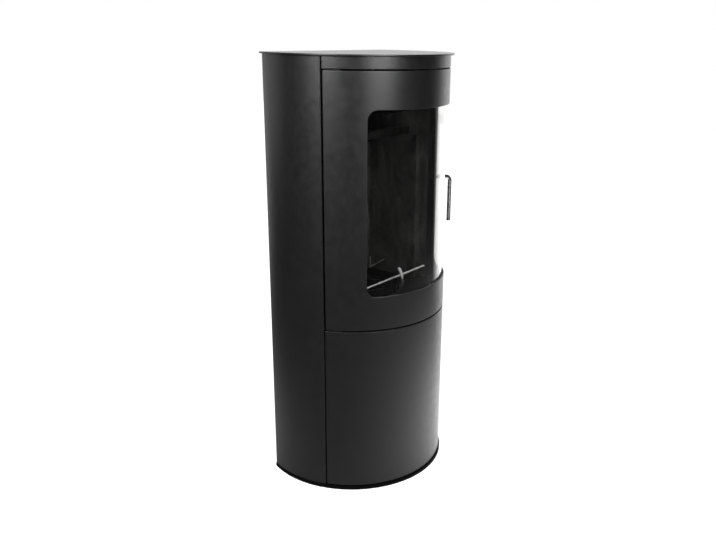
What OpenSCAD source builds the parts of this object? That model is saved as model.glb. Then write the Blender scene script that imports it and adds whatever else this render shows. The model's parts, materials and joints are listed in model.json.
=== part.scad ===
// Cylindrical steel wood stove with a curved glass door, a lower door and a flat back.
// The Z axis runs up the middle of the body's arc. Angles on the body are counted in degrees
// from the front (-Y), positive towards +X, which is the side of the door handle.

/* [Body] */
// Height from the floor to the top face
body_h = 1050; // [1035:1:1075]
// Diameter of the round body
body_d = 466; // [460:1:476]
// Distance from the body's axis to its flat back
back_depth = 84; // [80:1:90]
// Thickness of the outer sheets
sheet_t = 2; // [1.5:0.1:2.2]
// Thickness of the base plate
base_t = 8; // [7:0.5:9]
// How far the base plate stands out all round
base_lip = 3.5; // [2:0.5:5]
// Thickness of the top plate
top_t = 4; // [3:0.5:5]
// How far the top plate stands out all round
top_lip = 8; // [5:0.5:11]
// Half of the angle that the front opening takes, to the middle of its side gap
front_half_deg = 67.76; // [67.2:0.1:68.4]
// Width of the return flanges along the edges of the side panels
flange_w = 24; // [18:1:26]

/* [Front gaps] */
// Gap between the firebox door and a side panel
door_side_gap = 4.5; // [4.2:0.1:5]
// Gap between the lower door or the band and a side panel
trim_side_gap = 2.8; // [2.6:0.1:3.4]
// Height of the top edge of the lower door
lower_door_top = 421; // [415:1:425]
// Gap between the two doors
door_gap = 4.4; // [4:0.1:5]
// Height of the band under the top plate
band_h = 26.8; // [22:0.2:29]
// Gap between the firebox door and the band
band_gap = 3.2; // [3:0.1:4]
// Gap between the lower door and the base plate
base_gap = 2.6; // [2:0.1:4]

/* [Window] */
// Left edge of the window, from the front
window_left_deg = -43.2; // [-45:0.2:-41]
// Right edge of the window, from the front
window_right_deg = 57.8; // [57:0.2:58.2]
// Height of the door's rim below the window
rim_low = 80.6; // [76.6:0.5:86.6]
// Height of the door's rim above the window
rim_high = 82.5; // [79:0.5:88]
// Radius of the window's corners
window_corner_r = 23; // [15:1:30]
// Thickness of the glass
glass_t = 4; // [3.5:0.5:4.5]
// Thickness of the flat gasket between the door sheet and the glass
gasket_t = 4; // [3.5:0.1:4.5]
// How far the glass reaches past the window at the sides
glass_lap = 6; // [5:0.5:6.5]
// How far the glass reaches past the window above and below
glass_rise = 9; // [7:0.5:10]

/* [Doors] */
// Distance from the door's outer face to the face that its rope seals on
door_depth = 35; // [34:0.5:36]
// Depth of the edge walls inside a door
door_wall = 18; // [16:0.5:19]
// Thickness of the plates in a door's frame
frame_plate_t = 2.5; // [2:0.1:3]
// Angle of the rope on the hinge side
seal_left_deg = -54.5; // [-55.5:0.1:-54]
// Width of the rope seal
rope_w = 7; // [6:0.2:7.2]
// Thickness of the rope seal when the door is shut
rope_t = 6; // [5:0.2:7]
// Gap between a soft or resting piece and its seat
rest_gap = 0.3; // [0.2:0.05:0.4]
// Radius of the hinge pins
pin_r = 4; // [3.5:0.1:4.2]
// Radial clearance of a pin or a shaft in its hole
run_gap = 0.06; // [0.03:0.01:0.09]
// Distance of the hinge axis from the outer face
hinge_depth = 9.5; // [9.5:0.1:10.2]
// Distance of the hinge axis from the lower door's edge, along the arc
hinge_inset = 22; // [20:0.5:24]

/* [Handle] */
// Angle of the handle's spindle, from the front
handle_deg = 63.2; // [63:0.1:63.4]
// Height of the spindle's axis above the firebox door's lower edge
handle_rise = 305.6; // [275:0.2:375]
// Diameter of the handle's rod
rod_d = 12; // [10:0.2:12]
// Distance from the door's face to the middle of the grip
grip_reach = 46; // [40:1:55]
// Length of the grip, from the spindle's axis to its end
grip_len = 121; // [90:1:140]
// Radius of the bend at its middle
bend_r = 13; // [12:1:20]

/* [Firebox] */
// Inner width of the firebox shell
box_w = 300; // [294:1:304]
// Wall thickness of the firebox shell
box_t = 4; // [3:0.5:5]
// Height of the firebox shell's underside above the firebox door's lower edge
box_lift = 18.6; // [17.6:0.1:20.6]
// Room between the firebox shell and the top face
head_room = 61; // [55:1:70]
// Distance from the body's axis to the shell's rear face
box_back = 70; // [66:0.5:70]
// Thickness of the curved front frame
front_t = 3.5; // [3:0.1:4]
// Height of the firebox opening's lower edge above the shell's underside
sill_h = 34; // [32:0.5:35]
// Distance of the firebox opening's upper edge from the shell's top
lintel_h = 39; // [36:1:42]
// Thickness of the hearth slabs
hearth_t = 25; // [22:0.5:26]
// Thickness of the side boards
board_t = 25; // [20:0.5:28]
// Thickness of the back board and of the baffle
thin_board_t = 20; // [16:0.5:22]
// Front edge of the side boards
board_front = -102; // [-106:1:-96]
// Room between the back board and the shell's top
smoke_room = 164; // [156:1:196]
// Slope of the baffle
baffle_deg = 12; // [8:0.5:14]
// Front edge of the baffle
baffle_front = -62; // [-75:1:-50]
// Clearance between boards and their neighbours
board_gap = 0.4; // [0.3:0.05:0.5]
// Width of the grate
grate_w = 150; // [130:2:170]
// Depth of the grate
grate_l = 140; // [130:2:150]
// Thickness of the grate
grate_t = 12; // [10:1:14]
// Middle of the grate, in front of the body's axis
grate_y = -30; // [-32:1:-28]
// Number of slots in the grate
grate_slots = 9; // [7:1:11]

/* [Log guard] */
// Diameter of the log guard's bar
guard_d = 6; // [5:0.5:7]
// Length of the log guard's bar
guard_len = 240; // [200:2:244]
// Height of the bar above the hearth
guard_h = 40.5; // [36:0.5:44]
// Position of the bar in front of the body's axis
guard_y = -136.5; // [-138:0.5:-135]
// Radius of the bow in the middle of the bar
bow_r = 47; // [45:1:50]
// Half of the bow's height
bow_half_h = 33; // [30:1:34]
// Width of the bow's strip
bow_w = 9; // [6:1:12]
// Thickness of the bow's strip
bow_t = 3; // [2:0.5:4]

/* [Flue and air] */
// Diameter of the flue pipe
flue_d = 130; // [125:1:132]
// Radial clearance round the flue pipe
flue_gap = 0.5; // [0.3:0.1:0.6]
// Distance from the top face to the middle of the rear flue outlet
flue_drop = 140; // [139:1:142]
// How far the rear collar stands out from the back
collar_out = 38; // [30:1:50]
// Wall thickness of the flue collar
collar_t = 4; // [3:0.5:5]
// Middle of the top outlet, in front of the body's axis
cover_y = -40; // [-50:1:-34]
// Radius of the lift-off cover in the top plate
cover_r = 73; // [71:0.5:78]
// Outer diameter of the rear air spigot
spigot_d = 80; // [76:1:82]
// Wall thickness of the air spigot
spigot_t = 2; // [1.5:0.5:3]
// Distance from the firebox shell down to the middle of the air spigot
spigot_drop = 48; // [46:1:50]
// How far the air spigot stands out from the back
spigot_out = 25; // [20:1:40]
// Distance from the firebox shell down to the middle of the control rods
control_drop = 4.8; // [4.6:0.1:5.2]
// Diameter of the control rods
control_d = 7; // [6:0.2:7]
// Diameter of the control knobs
control_knob_d = 15; // [12:0.5:15]
// Distance of the air rod to the right of the middle
air_rod_x = 84; // [80:1:100]

/* [Ash pan and feet] */
// Inner width of the ash box
ash_w = 204; // [190:2:212]
// Height of the ash box
ash_h = 92; // [80:1:94]
// Front edge of the ash box
ash_front = -146; // [-150:1:-140]
// Rear face of the ash box
ash_back = 16; // [14:1:18]
// Thickness of the ash box and pan sheets
ash_t = 1.5; // [1:0.1:2]
// Clearance between the pan and its box
pan_gap = 4; // [3:0.5:5]
// Radius of the levelling screws
foot_r = 5; // [4:0.5:6]
// Radius of the feet's pads
foot_pad_r = 13; // [11:1:15]
// Length of the levelling screws
foot_len = 42; // [36:1:50]
// Sideways distance of the feet from the middle
foot_x = 150; // [140:1:156]
// Place of the front feet
foot_front_y = -125; // [-130:1:-115]
// Place of the rear feet
foot_rear_y = 52; // [45:1:58]

/* [Back] */
// Thickness of the back panel
back_t = 1.5; // [1:0.1:2]
// Number of vent slots in a row
vent_count = 9; // [5:1:11]
// Length of a vent slot
vent_len = 28; // [22:1:30]
// Height of a vent slot
vent_h = 7; // [5:0.5:9]

/* [Hidden] */
$fn = 96;
eps = 0.01;
big = 2 * body_h;
seam = 0.1;
body_r = body_d / 2;
skin_r = body_r - sheet_t;
top_z = body_h - top_t;
base_r = body_r + base_lip;
top_r = body_r + top_lip;
function arc_deg(length, r) = length / r * 180 / PI;
side_edge_deg = front_half_deg + arc_deg(door_side_gap / 2, body_r);
door_edge_deg = side_edge_deg - arc_deg(door_side_gap, body_r);
trim_edge_deg = side_edge_deg - arc_deg(trim_side_gap, body_r);
door_bottom = lower_door_top + door_gap;
band_bottom = top_z - band_h;
door_top = band_bottom - band_gap;
lower_door_bottom = base_t + base_gap;
window_bottom = door_bottom + rim_low;
window_top = door_top - rim_high;
handle_z = door_bottom + handle_rise;
box_bottom = door_bottom + box_lift;
box_top = body_h - head_room;
opening_bottom = box_bottom + sill_h;
opening_top = box_top - lintel_h;
flue_z = body_h - flue_drop;
spigot_z = box_bottom - spigot_drop;
control_z = box_bottom - control_drop;
frame_r = body_r - door_depth;
post_r = frame_r - front_t - seam;
wall_r = skin_r - door_wall;
fit_r = skin_r - seam;
flange_inset = 1;
strip_share = 0.4;
corner_step = 0.15;

// Hinges: one axis for both doors
hinge_r = body_r - hinge_depth;
hinge_deg = -(trim_edge_deg - arc_deg(hinge_inset, body_r));
bracket_t = 2.4;
bracket_w = 34;
mid_bracket_z = lower_door_top + (door_gap - bracket_t) / 2;
top_bracket_z = door_top + (band_gap - bracket_t) / 2;
pin_len = 10;
washer_t = 1.2;
washer_r = pin_r + 3;
front_frame_top = top_bracket_z - seam;
front_frame_bottom = mid_bracket_z + bracket_t + seam;

// Door frame, seal and glass
seal_room = 1.6;
sleeve_t = 2;
rope_corner_r = 8;
rib_z = [window_bottom + 84, window_top - 83.5];
glass_r = skin_r - gasket_t;
glass_in_r = glass_r - glass_t;
glass_left_deg = window_left_deg - arc_deg(glass_lap, body_r);
glass_right_deg = window_right_deg + arc_deg(glass_lap, body_r);
seal_right_deg = glass_right_deg + arc_deg(seal_room, glass_in_r);
seal_bottom = opening_bottom - 11;
seal_top = opening_top + 9;
sleeve_r = frame_r + rest_gap + rope_t;
clip_z = [window_bottom - glass_rise, window_top + glass_rise];
clip_deg = [-26, 7, 40];
clip_w = 22;
clip_t = 2;
clip_reach = 8;
clip_tail = 11;
clip_screw_r = 2.5;

// Magnet catch of the lower door
catch_deg = side_edge_deg - 4.2;
catch_z = 240;
catch_h = 50;
strike_t = 2;
strike_r = wall_r - rest_gap - strike_t;

// Handle
rod_r = rod_d / 2;
grip_r = body_r + grip_reach;
bush_r = rod_r + 3.3;
cam_t = 6;
cam_r = frame_r + 2.5;
cam_w = 11;
cam_len = 15;
keeper_gap = 1.4;
keeper_h = 12;
keeper_w = 9;
keeper_t = 8;

// Firebox
box_x = box_w / 2;
box_y = box_back - box_t;
floor_z = box_bottom + box_t;
hearth_z = floor_z + hearth_t;
opening_deg = asin(box_x / frame_r);
opening_corner_r = 12;
shell_r = frame_r - front_t - seam;
board_x = box_x - board_t;
board_back_y = box_y - board_gap - thin_board_t;
board_top = box_top - smoke_room;
hearth_front_y = grate_y - grate_l / 2;
hearth_rear_y = grate_y + grate_l / 2;
grate_z = hearth_z - grate_t;
ash_slot_x = grate_w / 2 - 8;
slot_w = 6;
slot_pitch = 14;
riddle_front = hearth_front_y + 16;
riddle_l = 80;
riddle_t = 5;
skid_w = 6;
fork_r = 1.5;
deflector_t = 3;
deflector_drop = 74;
deflector_z = box_top - deflector_drop;
deflector_w = box_w - 30;
deflector_front = -120;
deflector_back = -5;
clip_wire_r = 1.1;
clip_ball_r = 2.4;
clip_rise = 30;
clip_run = 48;

// Log guard
bow_reach = 18.1;
bow_y = guard_y - bow_reach + bow_r;
bow_z = hearth_z + bow_half_h;
bow_deg = asin((bow_half_h - rest_gap) / (bow_r + bow_t / 2));
guard_z = hearth_z + guard_h;
stem_w = 8;
stem_front = bow_y - (bow_r - bow_t / 2) * cos(bow_deg) + seam;
stem_t = 11;
saddle = 0.8;
socket_r = 3;
socket_h = 12;

// Flue and air
flue_r = flue_d / 2 + flue_gap;
collar_r = flue_r + collar_t;
collar_flange_r = collar_r + 8;
collar_flange_t = 3;
hole_gap = 1;
cover_gap = 0.8;
top_hole_r = flue_r + 1;
ring_t = 2.5;
ring_r = cover_r + 10;
blank_t = 6;
blank_lip = 10;
blank_knob_r = 9;
blank_knob_h = 14;
air_front = ash_back + 6;
air_h = 92;
air_w = 240;
valve_t = 2;
valve_x = 98;
valve_y = air_front + 18;
valve_l = 20;
air_slot = 11;
knob_t = 12;
knob_r = frame_r + 1;
knob_y = -sqrt(knob_r ^ 2 - (air_rod_x - control_knob_d / 2) ^ 2);

// Ash pan and feet
ash_bottom = box_bottom - seam - ash_h;
pan_w = ash_w - 2 * pan_gap;
pan_h = 70;
pan_handle_w = 90;
pan_handle_t = 6;
pan_handle_out = 22;
pad_t = 3;
pad_gap = 0.6;
nut_t = 6;
nut_r = 9;

// Back
shield_y = 76;
shield_t = 1;
shield_w = 360;
shield_z = [spigot_z - 96, body_h - 50];
back_w = 2 * sqrt(skin_r ^ 2 - (back_depth + back_t) ^ 2) - 1;
vent_pitch = 36;
vent_z = [60, 250, flue_z - 130];
screw_r = 2.5;
screw_head_r = 4.5;
screw_head_t = 2;

// A wall that follows the round body, between two radii, two heights and two angles
module arc_wall(r_in, r_out, z_low, z_high, deg_low, deg_high) {
    rotate([0, 0, deg_low - 90])
        rotate_extrude(angle = deg_high - deg_low)
            translate([r_in, z_low]) square([r_out - r_in, z_high - z_low]);
}

// Its children are drawn with X pointing outwards at an angle on the body
module at_deg(deg) {
    rotate([0, 0, deg - 90]) children();
}

// A plate that stands along a radius
module radial_plate(deg, t, r_in, r_out, z_low, z_high) {
    at_deg(deg) translate([r_in, -t / 2, z_low]) cube([r_out - r_in, t, z_high - z_low]);
}

// A round bar or hole along a radius
module radial_bar(deg, z, r, r_in, r_out) {
    at_deg(deg) translate([r_in, 0, z]) rotate([0, 90, 0]) cylinder(r = r, h = r_out - r_in);
}

// A round bar or hole along Y
module y_bar(x, z, r, y_low, y_high) {
    translate([x, y_high, z]) rotate([90, 0, 0]) cylinder(r = r, h = y_high - y_low);
}

// A box given by its low and high corners
module block(low, high) {
    translate(low) cube(high - low);
}

// A round plate cut straight at the back
module d_plate(r, y_cut, z_low, z_high) {
    intersection() {
        translate([0, 0, z_low]) cylinder(r = r, h = z_high - z_low);
        block([-big, -big, z_low], [big, y_cut, z_high]);
    }
}

// A curved rectangle with rounded corners, cut through a wall along the radii. Its three kinds of
// pieces reach past the wall by different lengths, and the round corners stay a hair inside the
// straight edges, so that no faces coincide or touch along a tangent.
module window_cut(deg_low, deg_high, z_low, z_high, corner, r_in, r_out) {
    corner_deg = asin(corner / r_in);
    arc_wall(r_in - 2, r_out + 2, z_low + corner, z_high - corner, deg_low, deg_high);
    arc_wall(r_in - 1, r_out + 1, z_low, z_high, deg_low + corner_deg, deg_high - corner_deg);
    for (deg = [deg_low + corner_deg, deg_high - corner_deg], z = [z_low + corner, z_high - corner])
        radial_bar(deg, z, corner - corner_step, r_in - 0.5, r_out + 0.5);
}

// ---- Carcass ----

module foot_places() {
    for (x = [-foot_x, foot_x], y = [foot_front_y, foot_rear_y]) translate([x, y, 0]) children();
}

module base_plate() {
    color("black") {
        difference() {
            d_plate(base_r, back_depth + back_t, 0, base_t);
            foot_places() {
                translate([0, 0, -eps]) cylinder(r = foot_pad_r + hole_gap, h = pad_t + pad_gap + eps);
                cylinder(r = foot_r + run_gap, h = base_t + eps);
            }
        }
        at_deg(hinge_deg) translate([hinge_r, 0, base_t - eps]) {
            cylinder(r = washer_r, h = lower_door_bottom - base_t - seam);
            cylinder(r = pin_r, h = lower_door_bottom - base_t + pin_len);
        }
    }
}

module side_panel() {
    arc_wall(skin_r, body_r, base_t, top_z, side_edge_deg, 90 + asin(back_depth / skin_r));
    at_deg(side_edge_deg) translate([body_r - flange_w, seam, base_t + flange_inset])
        cube([flange_w - sheet_t / 2, sheet_t, top_z - base_t - 2 * flange_inset]);
    rear_x = sqrt(skin_r ^ 2 - (back_depth - sheet_t) ^ 2) + sheet_t / 2;
    block([rear_x - flange_w, back_depth - seam - sheet_t, base_t + flange_inset],
        [rear_x, back_depth - seam, top_z - flange_inset]);
}

module side_panel_right() {
    color("dimgray") side_panel();
}

module side_panel_left() {
    color("dimgray") mirror([1, 0, 0]) side_panel();
}

// A leg along a radius, welded on a strip that backs the curved frame
module front_post() {
    leg_in = post_r + seam;
    at_deg(side_edge_deg) translate([leg_in, sheet_t + 2 * seam, base_t])
        cube([fit_r - 4 - leg_in, frame_plate_t, top_z - base_t]);
    room_deg = side_edge_deg - asin((box_x + box_t) / (post_r - frame_plate_t));
    arc_wall(post_r - frame_plate_t, post_r, base_t + flange_inset, top_z - flange_inset,
        side_edge_deg - strip_share * room_deg, side_edge_deg + 1.5);
}

module front_post_right() {
    color("darkslategray") front_post();
}

module front_post_left() {
    color("darkslategray") mirror([1, 0, 0]) front_post();
}

module vent_rows() {
    for (row = [0:2], i = [0:vent_count - 1])
        translate([(i - (vent_count - 1) / 2) * vent_pitch - vent_len / 2, 0, row * 2 * vent_h])
            cube([vent_len, 10, vent_h]);
}

module back_screw_places() {
    for (x = [-1, 1], z = [40:(body_h - 80) / 5:body_h - 40])
        translate([x * (back_w / 2 - flange_w / 2), back_depth, z]) children();
}

module back_panel() {
    color("dimgray") difference() {
        block([-back_w / 2, back_depth, base_t], [back_w / 2, back_depth + back_t, top_z]);
        y_bar(0, flue_z, collar_r + hole_gap, back_depth - 1, back_depth + back_t + 1);
        y_bar(0, spigot_z, spigot_d / 2 + hole_gap, back_depth - 1, back_depth + back_t + 1);
        for (z = vent_z) translate([0, back_depth - 1, z]) vent_rows();
        back_screw_places() rotate([90, 0, 0])
            translate([0, 0, -back_t - 1]) cylinder(r = screw_r + run_gap, h = back_t + 2, $fn = 24);
    }
}

module back_screws() {
    color("silver") back_screw_places() rotate([-90, 0, 0]) {
        translate([0, 0, back_t]) cylinder(r = screw_head_r, h = screw_head_t, $fn = 24);
        cylinder(r = screw_r, h = back_t + eps, $fn = 24);
    }
}

module rear_heat_shield() {
    color("silver") difference() {
        union() {
            block([-shield_w / 2, shield_y, shield_z[0]], [shield_w / 2, shield_y + shield_t, shield_z[1]]);
            for (x = [-shield_w / 2, shield_w / 2 - shield_t])
                block([x, shield_y, shield_z[0]], [x + shield_t, back_depth - seam, shield_z[1]]);
        }
        y_bar(0, flue_z, collar_r + hole_gap, shield_y - 1, back_depth);
        y_bar(0, spigot_z, spigot_d / 2 + hole_gap, shield_y - 1, back_depth);
    }
}

module top_plate() {
    color("dimgray") difference() {
        union() {
            d_plate(top_r, back_depth + back_t + 4, top_z, body_h);
            translate([0, cover_y, top_z - ring_t]) cylinder(r = ring_r, h = ring_t + eps);
        }
        translate([0, cover_y, top_z]) cylinder(r = cover_r + cover_gap, h = top_t + 1);
        translate([0, cover_y, top_z - ring_t - 1]) cylinder(r = top_hole_r, h = ring_t + top_t + 2);
    }
}

module flue_cover() {
    color("dimgray") translate([0, cover_y, top_z]) cylinder(r = cover_r, h = top_t);
}

module fascia_band() {
    color("dimgray") {
        arc_wall(skin_r, body_r, band_bottom, top_z, -trim_edge_deg, trim_edge_deg);
        arc_wall(wall_r, skin_r + eps, top_z - sheet_t, top_z, -trim_edge_deg, trim_edge_deg);
    }
}

// ---- Firebox ----

module firebox_shell() {
    color("darkslategray") difference() {
        intersection() {
            block([-box_x - box_t, -shell_r, box_bottom], [box_x + box_t, box_back, box_top]);
            translate([0, 0, box_bottom]) cylinder(r = shell_r, h = box_top - box_bottom);
        }
        block([-box_x, -body_r, floor_z], [box_x, box_y, box_top - box_t]);
        y_bar(0, flue_z, flue_r, box_y - 1, box_back + 1);
        translate([0, cover_y, box_top - box_t - 1]) cylinder(r = flue_r, h = box_t + 2);
        block([-ash_slot_x, hearth_front_y + 2, box_bottom - 1],
            [ash_slot_x, ash_back - ash_t - 4, floor_z + 1]);
        block([-valve_x + 4, valve_y + valve_l - air_slot - 1, box_bottom - 1],
            [valve_x - 4, valve_y + valve_l - 1, floor_z + 1]);
    }
}

module front_frame() {
    color("darkslategray") difference() {
        arc_wall(frame_r - front_t, frame_r, front_frame_bottom, front_frame_top,
            -side_edge_deg + 0.5, side_edge_deg - 0.5);
        window_cut(-opening_deg, opening_deg, opening_bottom, opening_top, opening_corner_r,
            frame_r - front_t, frame_r);
        y_bar(0, control_z, control_d / 2 + run_gap, -body_r, -frame_r / 2);
        y_bar(air_rod_x, control_z, control_d / 2 + run_gap, -body_r, -frame_r / 2);
        frame_bolt_places(frame_r) translate([0, 0, -front_t - 1]) cylinder(r = screw_r + run_gap, h = front_t + 2);
    }
}

// The block on the curved frame that the handle's cam turns down beside
module latch_keeper() {
    color("gray") at_deg(handle_deg)
        translate([frame_r + seam, 0, handle_z - cam_len - keeper_gap - keeper_h]) cube([keeper_t, keeper_w, keeper_h]);
}

// Bolts that hold the curved frame to the posts; children point outwards
module frame_bolt_places(r) {
    for (side = [-1, 1], i = [0:4])
        at_deg(side * (side_edge_deg - 2.6))
            translate([r, 0, box_bottom + 16 + i * (box_top - box_bottom - 25) / 4]) rotate([0, 90, 0]) children();
}

module frame_bolts() {
    color("silver") frame_bolt_places(frame_r) {
        cylinder(r = screw_head_r - 0.5, h = 1.5, $fn = 24);
        translate([0, 0, -front_t]) cylinder(r = screw_r, h = front_t + eps, $fn = 24);
    }
}

module flue_collar() {
    color("dimgray") difference() {
        union() {
            y_bar(0, flue_z, collar_r, box_back, back_depth + back_t + collar_out);
            y_bar(0, flue_z, collar_flange_r, box_back, box_back + collar_flange_t);
        }
        y_bar(0, flue_z, flue_r, box_back - 1, back_depth + back_t + collar_out + 1);
    }
}

module top_blank() {
    color("dimgray") translate([0, cover_y, box_top]) {
        cylinder(r = flue_r + blank_lip, h = blank_t);
        translate([0, 0, -box_t]) cylinder(r = flue_r - rest_gap, h = box_t + eps);
        translate([0, 0, blank_t - eps]) cylinder(r = blank_knob_r, h = blank_knob_h);
    }
}

module hearth_outline(y_low, y_high) {
    intersection() {
        translate([0, 0, floor_z]) cylinder(r = frame_r - front_t - board_gap - seam, h = hearth_t);
        block([-box_x + board_gap, y_low, floor_z], [box_x - board_gap, y_high, hearth_z]);
    }
}

module hearth_front() {
    color("darkgray") difference() {
        hearth_outline(-body_r, hearth_front_y - board_gap);
        translate([0, stem_front + stem_t / 2, hearth_z - socket_h - 1])
            cylinder(r = socket_r + run_gap, h = socket_h + 2);
    }
}

module hearth_rear() {
    color("darkgray") hearth_outline(hearth_rear_y + board_gap, box_y - board_gap);
}

module hearth_sides() {
    color("darkgray") for (side = [0, 1]) mirror([side, 0, 0]) intersection() {
        hearth_outline(hearth_front_y, hearth_rear_y);
        block([grate_w / 2 + board_gap, -body_r, floor_z], [box_x, body_r, hearth_z]);
    }
}

// Height of the baffle's underside at a distance along Y
function baffle_z(y) = board_top + (board_back_y - y) * tan(baffle_deg);

module side_board() {
    back = box_y - board_gap - thin_board_t - board_gap;
    translate([board_x, 0, 0]) rotate([90, 0, 90]) linear_extrude(board_t - board_gap)
        polygon([[board_front, hearth_z], [back, hearth_z], [back, baffle_z(back) - board_gap],
            [baffle_front, baffle_z(baffle_front) - board_gap],
            [board_front, baffle_z(baffle_front) - board_gap]]);
}

module board_right() {
    color("dimgray") side_board();
}

module board_left() {
    color("dimgray") mirror([1, 0, 0]) side_board();
}

module board_back() {
    color("dimgray") block([-box_x + board_gap, board_back_y, hearth_z],
        [box_x - board_gap, board_back_y + thin_board_t, baffle_z(box_y) - board_gap]);
}

module baffle() {
    back = box_y - board_gap;
    color("dimgray") translate([-box_x + 2 * board_gap, 0, 0]) rotate([90, 0, 90])
        linear_extrude(box_w - 4 * board_gap)
            polygon([[baffle_front, baffle_z(baffle_front)], [back, baffle_z(back)],
                [back, baffle_z(back) + thin_board_t], [baffle_front, baffle_z(baffle_front) + thin_board_t]]);
}

module smoke_deflector() {
    color("darkslategray") {
        block([-deflector_w / 2, deflector_front, deflector_z],
            [deflector_w / 2, deflector_back, deflector_z + deflector_t]);
        for (x = [-deflector_w / 2, deflector_w / 2 - deflector_t])
            block([x, deflector_front, deflector_z], [x + deflector_t, deflector_back, box_top - box_t - seam]);
    }
}

// A bent wire that holds the lower rear corner of a side board
module board_clip() {
    x = board_x - clip_ball_r - rest_gap;
    back = board_back_y - clip_ball_r - rest_gap;
    low = hearth_z + clip_ball_r + rest_gap;
    run_deg = atan2(clip_rise, clip_run);
    translate([x, back, low]) {
        cylinder(r = clip_wire_r, h = clip_rise, $fn = 24);
        sphere(r = clip_ball_r, $fn = 24);
        rotate([90 - run_deg, 0, 0]) cylinder(r = clip_wire_r, h = norm([clip_run, clip_rise]), $fn = 24);
    }
}

module board_clips() {
    color("silver") for (side = [0, 1]) mirror([side, 0, 0]) board_clip();
}

module grate() {
    color("gray") difference() {
        block([-grate_w / 2 + board_gap, hearth_front_y + board_gap, grate_z],
            [grate_w / 2 - board_gap, hearth_rear_y - board_gap, hearth_z]);
        for (i = [0:grate_slots - 1])
            translate([(i - (grate_slots - 1) / 2) * slot_pitch - slot_w / 2, hearth_front_y + 18, grate_z - 1])
                cube([slot_w, grate_l - 60, grate_t + 2]);
    }
}

module riddle_plate() {
    half_w = grate_w / 2 - 1;
    low = grate_z - rest_gap - riddle_t;
    color("gray") difference() {
        union() {
            block([-half_w, riddle_front, low], [half_w, riddle_front + riddle_l, low + riddle_t]);
            for (side = [-1, 1]) translate([side * (half_w - skid_w / 2) - skid_w / 2, riddle_front, floor_z + rest_gap])
                cube([skid_w, riddle_l, low - floor_z - rest_gap + eps]);
            block([-skid_w, riddle_front, control_z - control_d / 2], [skid_w, riddle_front + 10, low + eps]);
        }
        for (i = [0:grate_slots - 1])
            translate([(i - (grate_slots - 1) / 2) * slot_pitch - slot_w / 2, riddle_front + 16, low - 1])
                cube([slot_w, riddle_l - 32, riddle_t + 2]);
    }
}

// A control knob in front of the curved frame
module control_knob(x, y_back) {
    y_bar(x, control_z, control_knob_d / 2, y_back - knob_t, y_back);
}

module riddle_rod() {
    color("silver") {
        y_bar(0, control_z, control_d / 2, -knob_r - eps, riddle_front);
        control_knob(0, -knob_r);
    }
}

module air_box() {
    wall = 2;
    low = box_bottom - seam - air_h;
    color("darkslategray") difference() {
        block([-air_w / 2, air_front, low], [air_w / 2, box_back, box_bottom - seam]);
        block([-air_w / 2 + wall, air_front + wall, low + wall], [air_w / 2 - wall, box_back - wall, box_bottom]);
        y_bar(0, spigot_z, spigot_d / 2 - spigot_t, box_back - wall - 1, box_back + 1);
        y_bar(air_rod_x, control_z, control_d / 2 + run_gap, air_front - 1, air_front + wall + 1);
    }
}

module air_valve() {
    high = box_bottom - seam - rest_gap;
    color("silver") {
        block([-valve_x, valve_y, high - valve_t], [valve_x, valve_y + valve_l, high]);
        block([air_rod_x - 6, valve_y, control_z - control_d / 2 - 2],
            [air_rod_x + 6, valve_y + 6, high - valve_t + eps]);
    }
}

module air_rod() {
    color("silver") {
        y_bar(air_rod_x, control_z, control_d / 2, knob_y - eps, valve_y);
        control_knob(air_rod_x, knob_y);
    }
}

module air_spigot() {
    color("silver") difference() {
        union() {
            y_bar(0, spigot_z, spigot_d / 2, box_back, back_depth + back_t + spigot_out);
            y_bar(0, spigot_z, spigot_d / 2 + 5, box_back, box_back + spigot_t);
        }
        y_bar(0, spigot_z, spigot_d / 2 - spigot_t, box_back - 1, back_depth + back_t + spigot_out + 1);
    }
}

module ash_box() {
    color("darkslategray") difference() {
        block([-ash_w / 2 - ash_t, ash_front, ash_bottom], [ash_w / 2 + ash_t, ash_back, box_bottom - seam]);
        block([-ash_w / 2, ash_front - 1, ash_bottom + ash_t], [ash_w / 2, ash_back - ash_t, box_bottom]);
        y_bar(air_rod_x, control_z, control_d / 2 + run_gap, ash_back - ash_t - 1, ash_back + 1);
    }
}

module ash_pan() {
    low = ash_bottom + ash_t + rest_gap;
    color("gray") difference() {
        block([-pan_w / 2, ash_front + 4, low], [pan_w / 2, ash_back - ash_t - pan_gap, low + pan_h]);
        block([-pan_w / 2 + ash_t, ash_front + 4 + ash_t, low + ash_t],
            [pan_w / 2 - ash_t, ash_back - ash_t - pan_gap - ash_t, low + pan_h + 1]);
    }
}

module ash_pan_handle() {
    front = ash_front + 4;
    z = ash_bottom + ash_t + rest_gap + pan_h / 2;
    color("silver") {
        for (side = [-1, 1])
            y_bar(side * (pan_handle_w - pan_handle_t) / 2, z, pan_handle_t / 2, front - pan_handle_out, front);
        translate([-pan_handle_w / 2, front - pan_handle_out, z]) rotate([0, 90, 0])
            cylinder(r = pan_handle_t / 2, h = pan_handle_w);
    }
}

// ---- Doors ----

// A hinge bracket lies in a gap, over the end of the curved frame
module hinge_plate(z) {
    half = arc_deg(bracket_w / 2, hinge_r);
    arc_wall(post_r + seam, hinge_r + washer_r - 1, z, z + bracket_t, hinge_deg - half, hinge_deg + half);
}

module hinge_bracket_top() {
    color("gray") {
        hinge_plate(top_bracket_z);
        at_deg(hinge_deg) translate([hinge_r, 0, door_top - pin_len]) cylinder(r = pin_r, h = pin_len + bracket_t);
    }
}

module hinge_bracket_middle() {
    rise = door_bottom - mid_bracket_z - bracket_t;
    color("gray") {
        hinge_plate(mid_bracket_z);
        at_deg(hinge_deg) translate([hinge_r, 0, 0]) {
            translate([0, 0, lower_door_top - pin_len])
                cylinder(r = pin_r, h = door_bottom - lower_door_top + 2 * pin_len);
            translate([0, 0, mid_bracket_z + bracket_t - eps]) cylinder(r = washer_r, h = rise + washer_t - seam);
        }
    }
}

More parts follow.
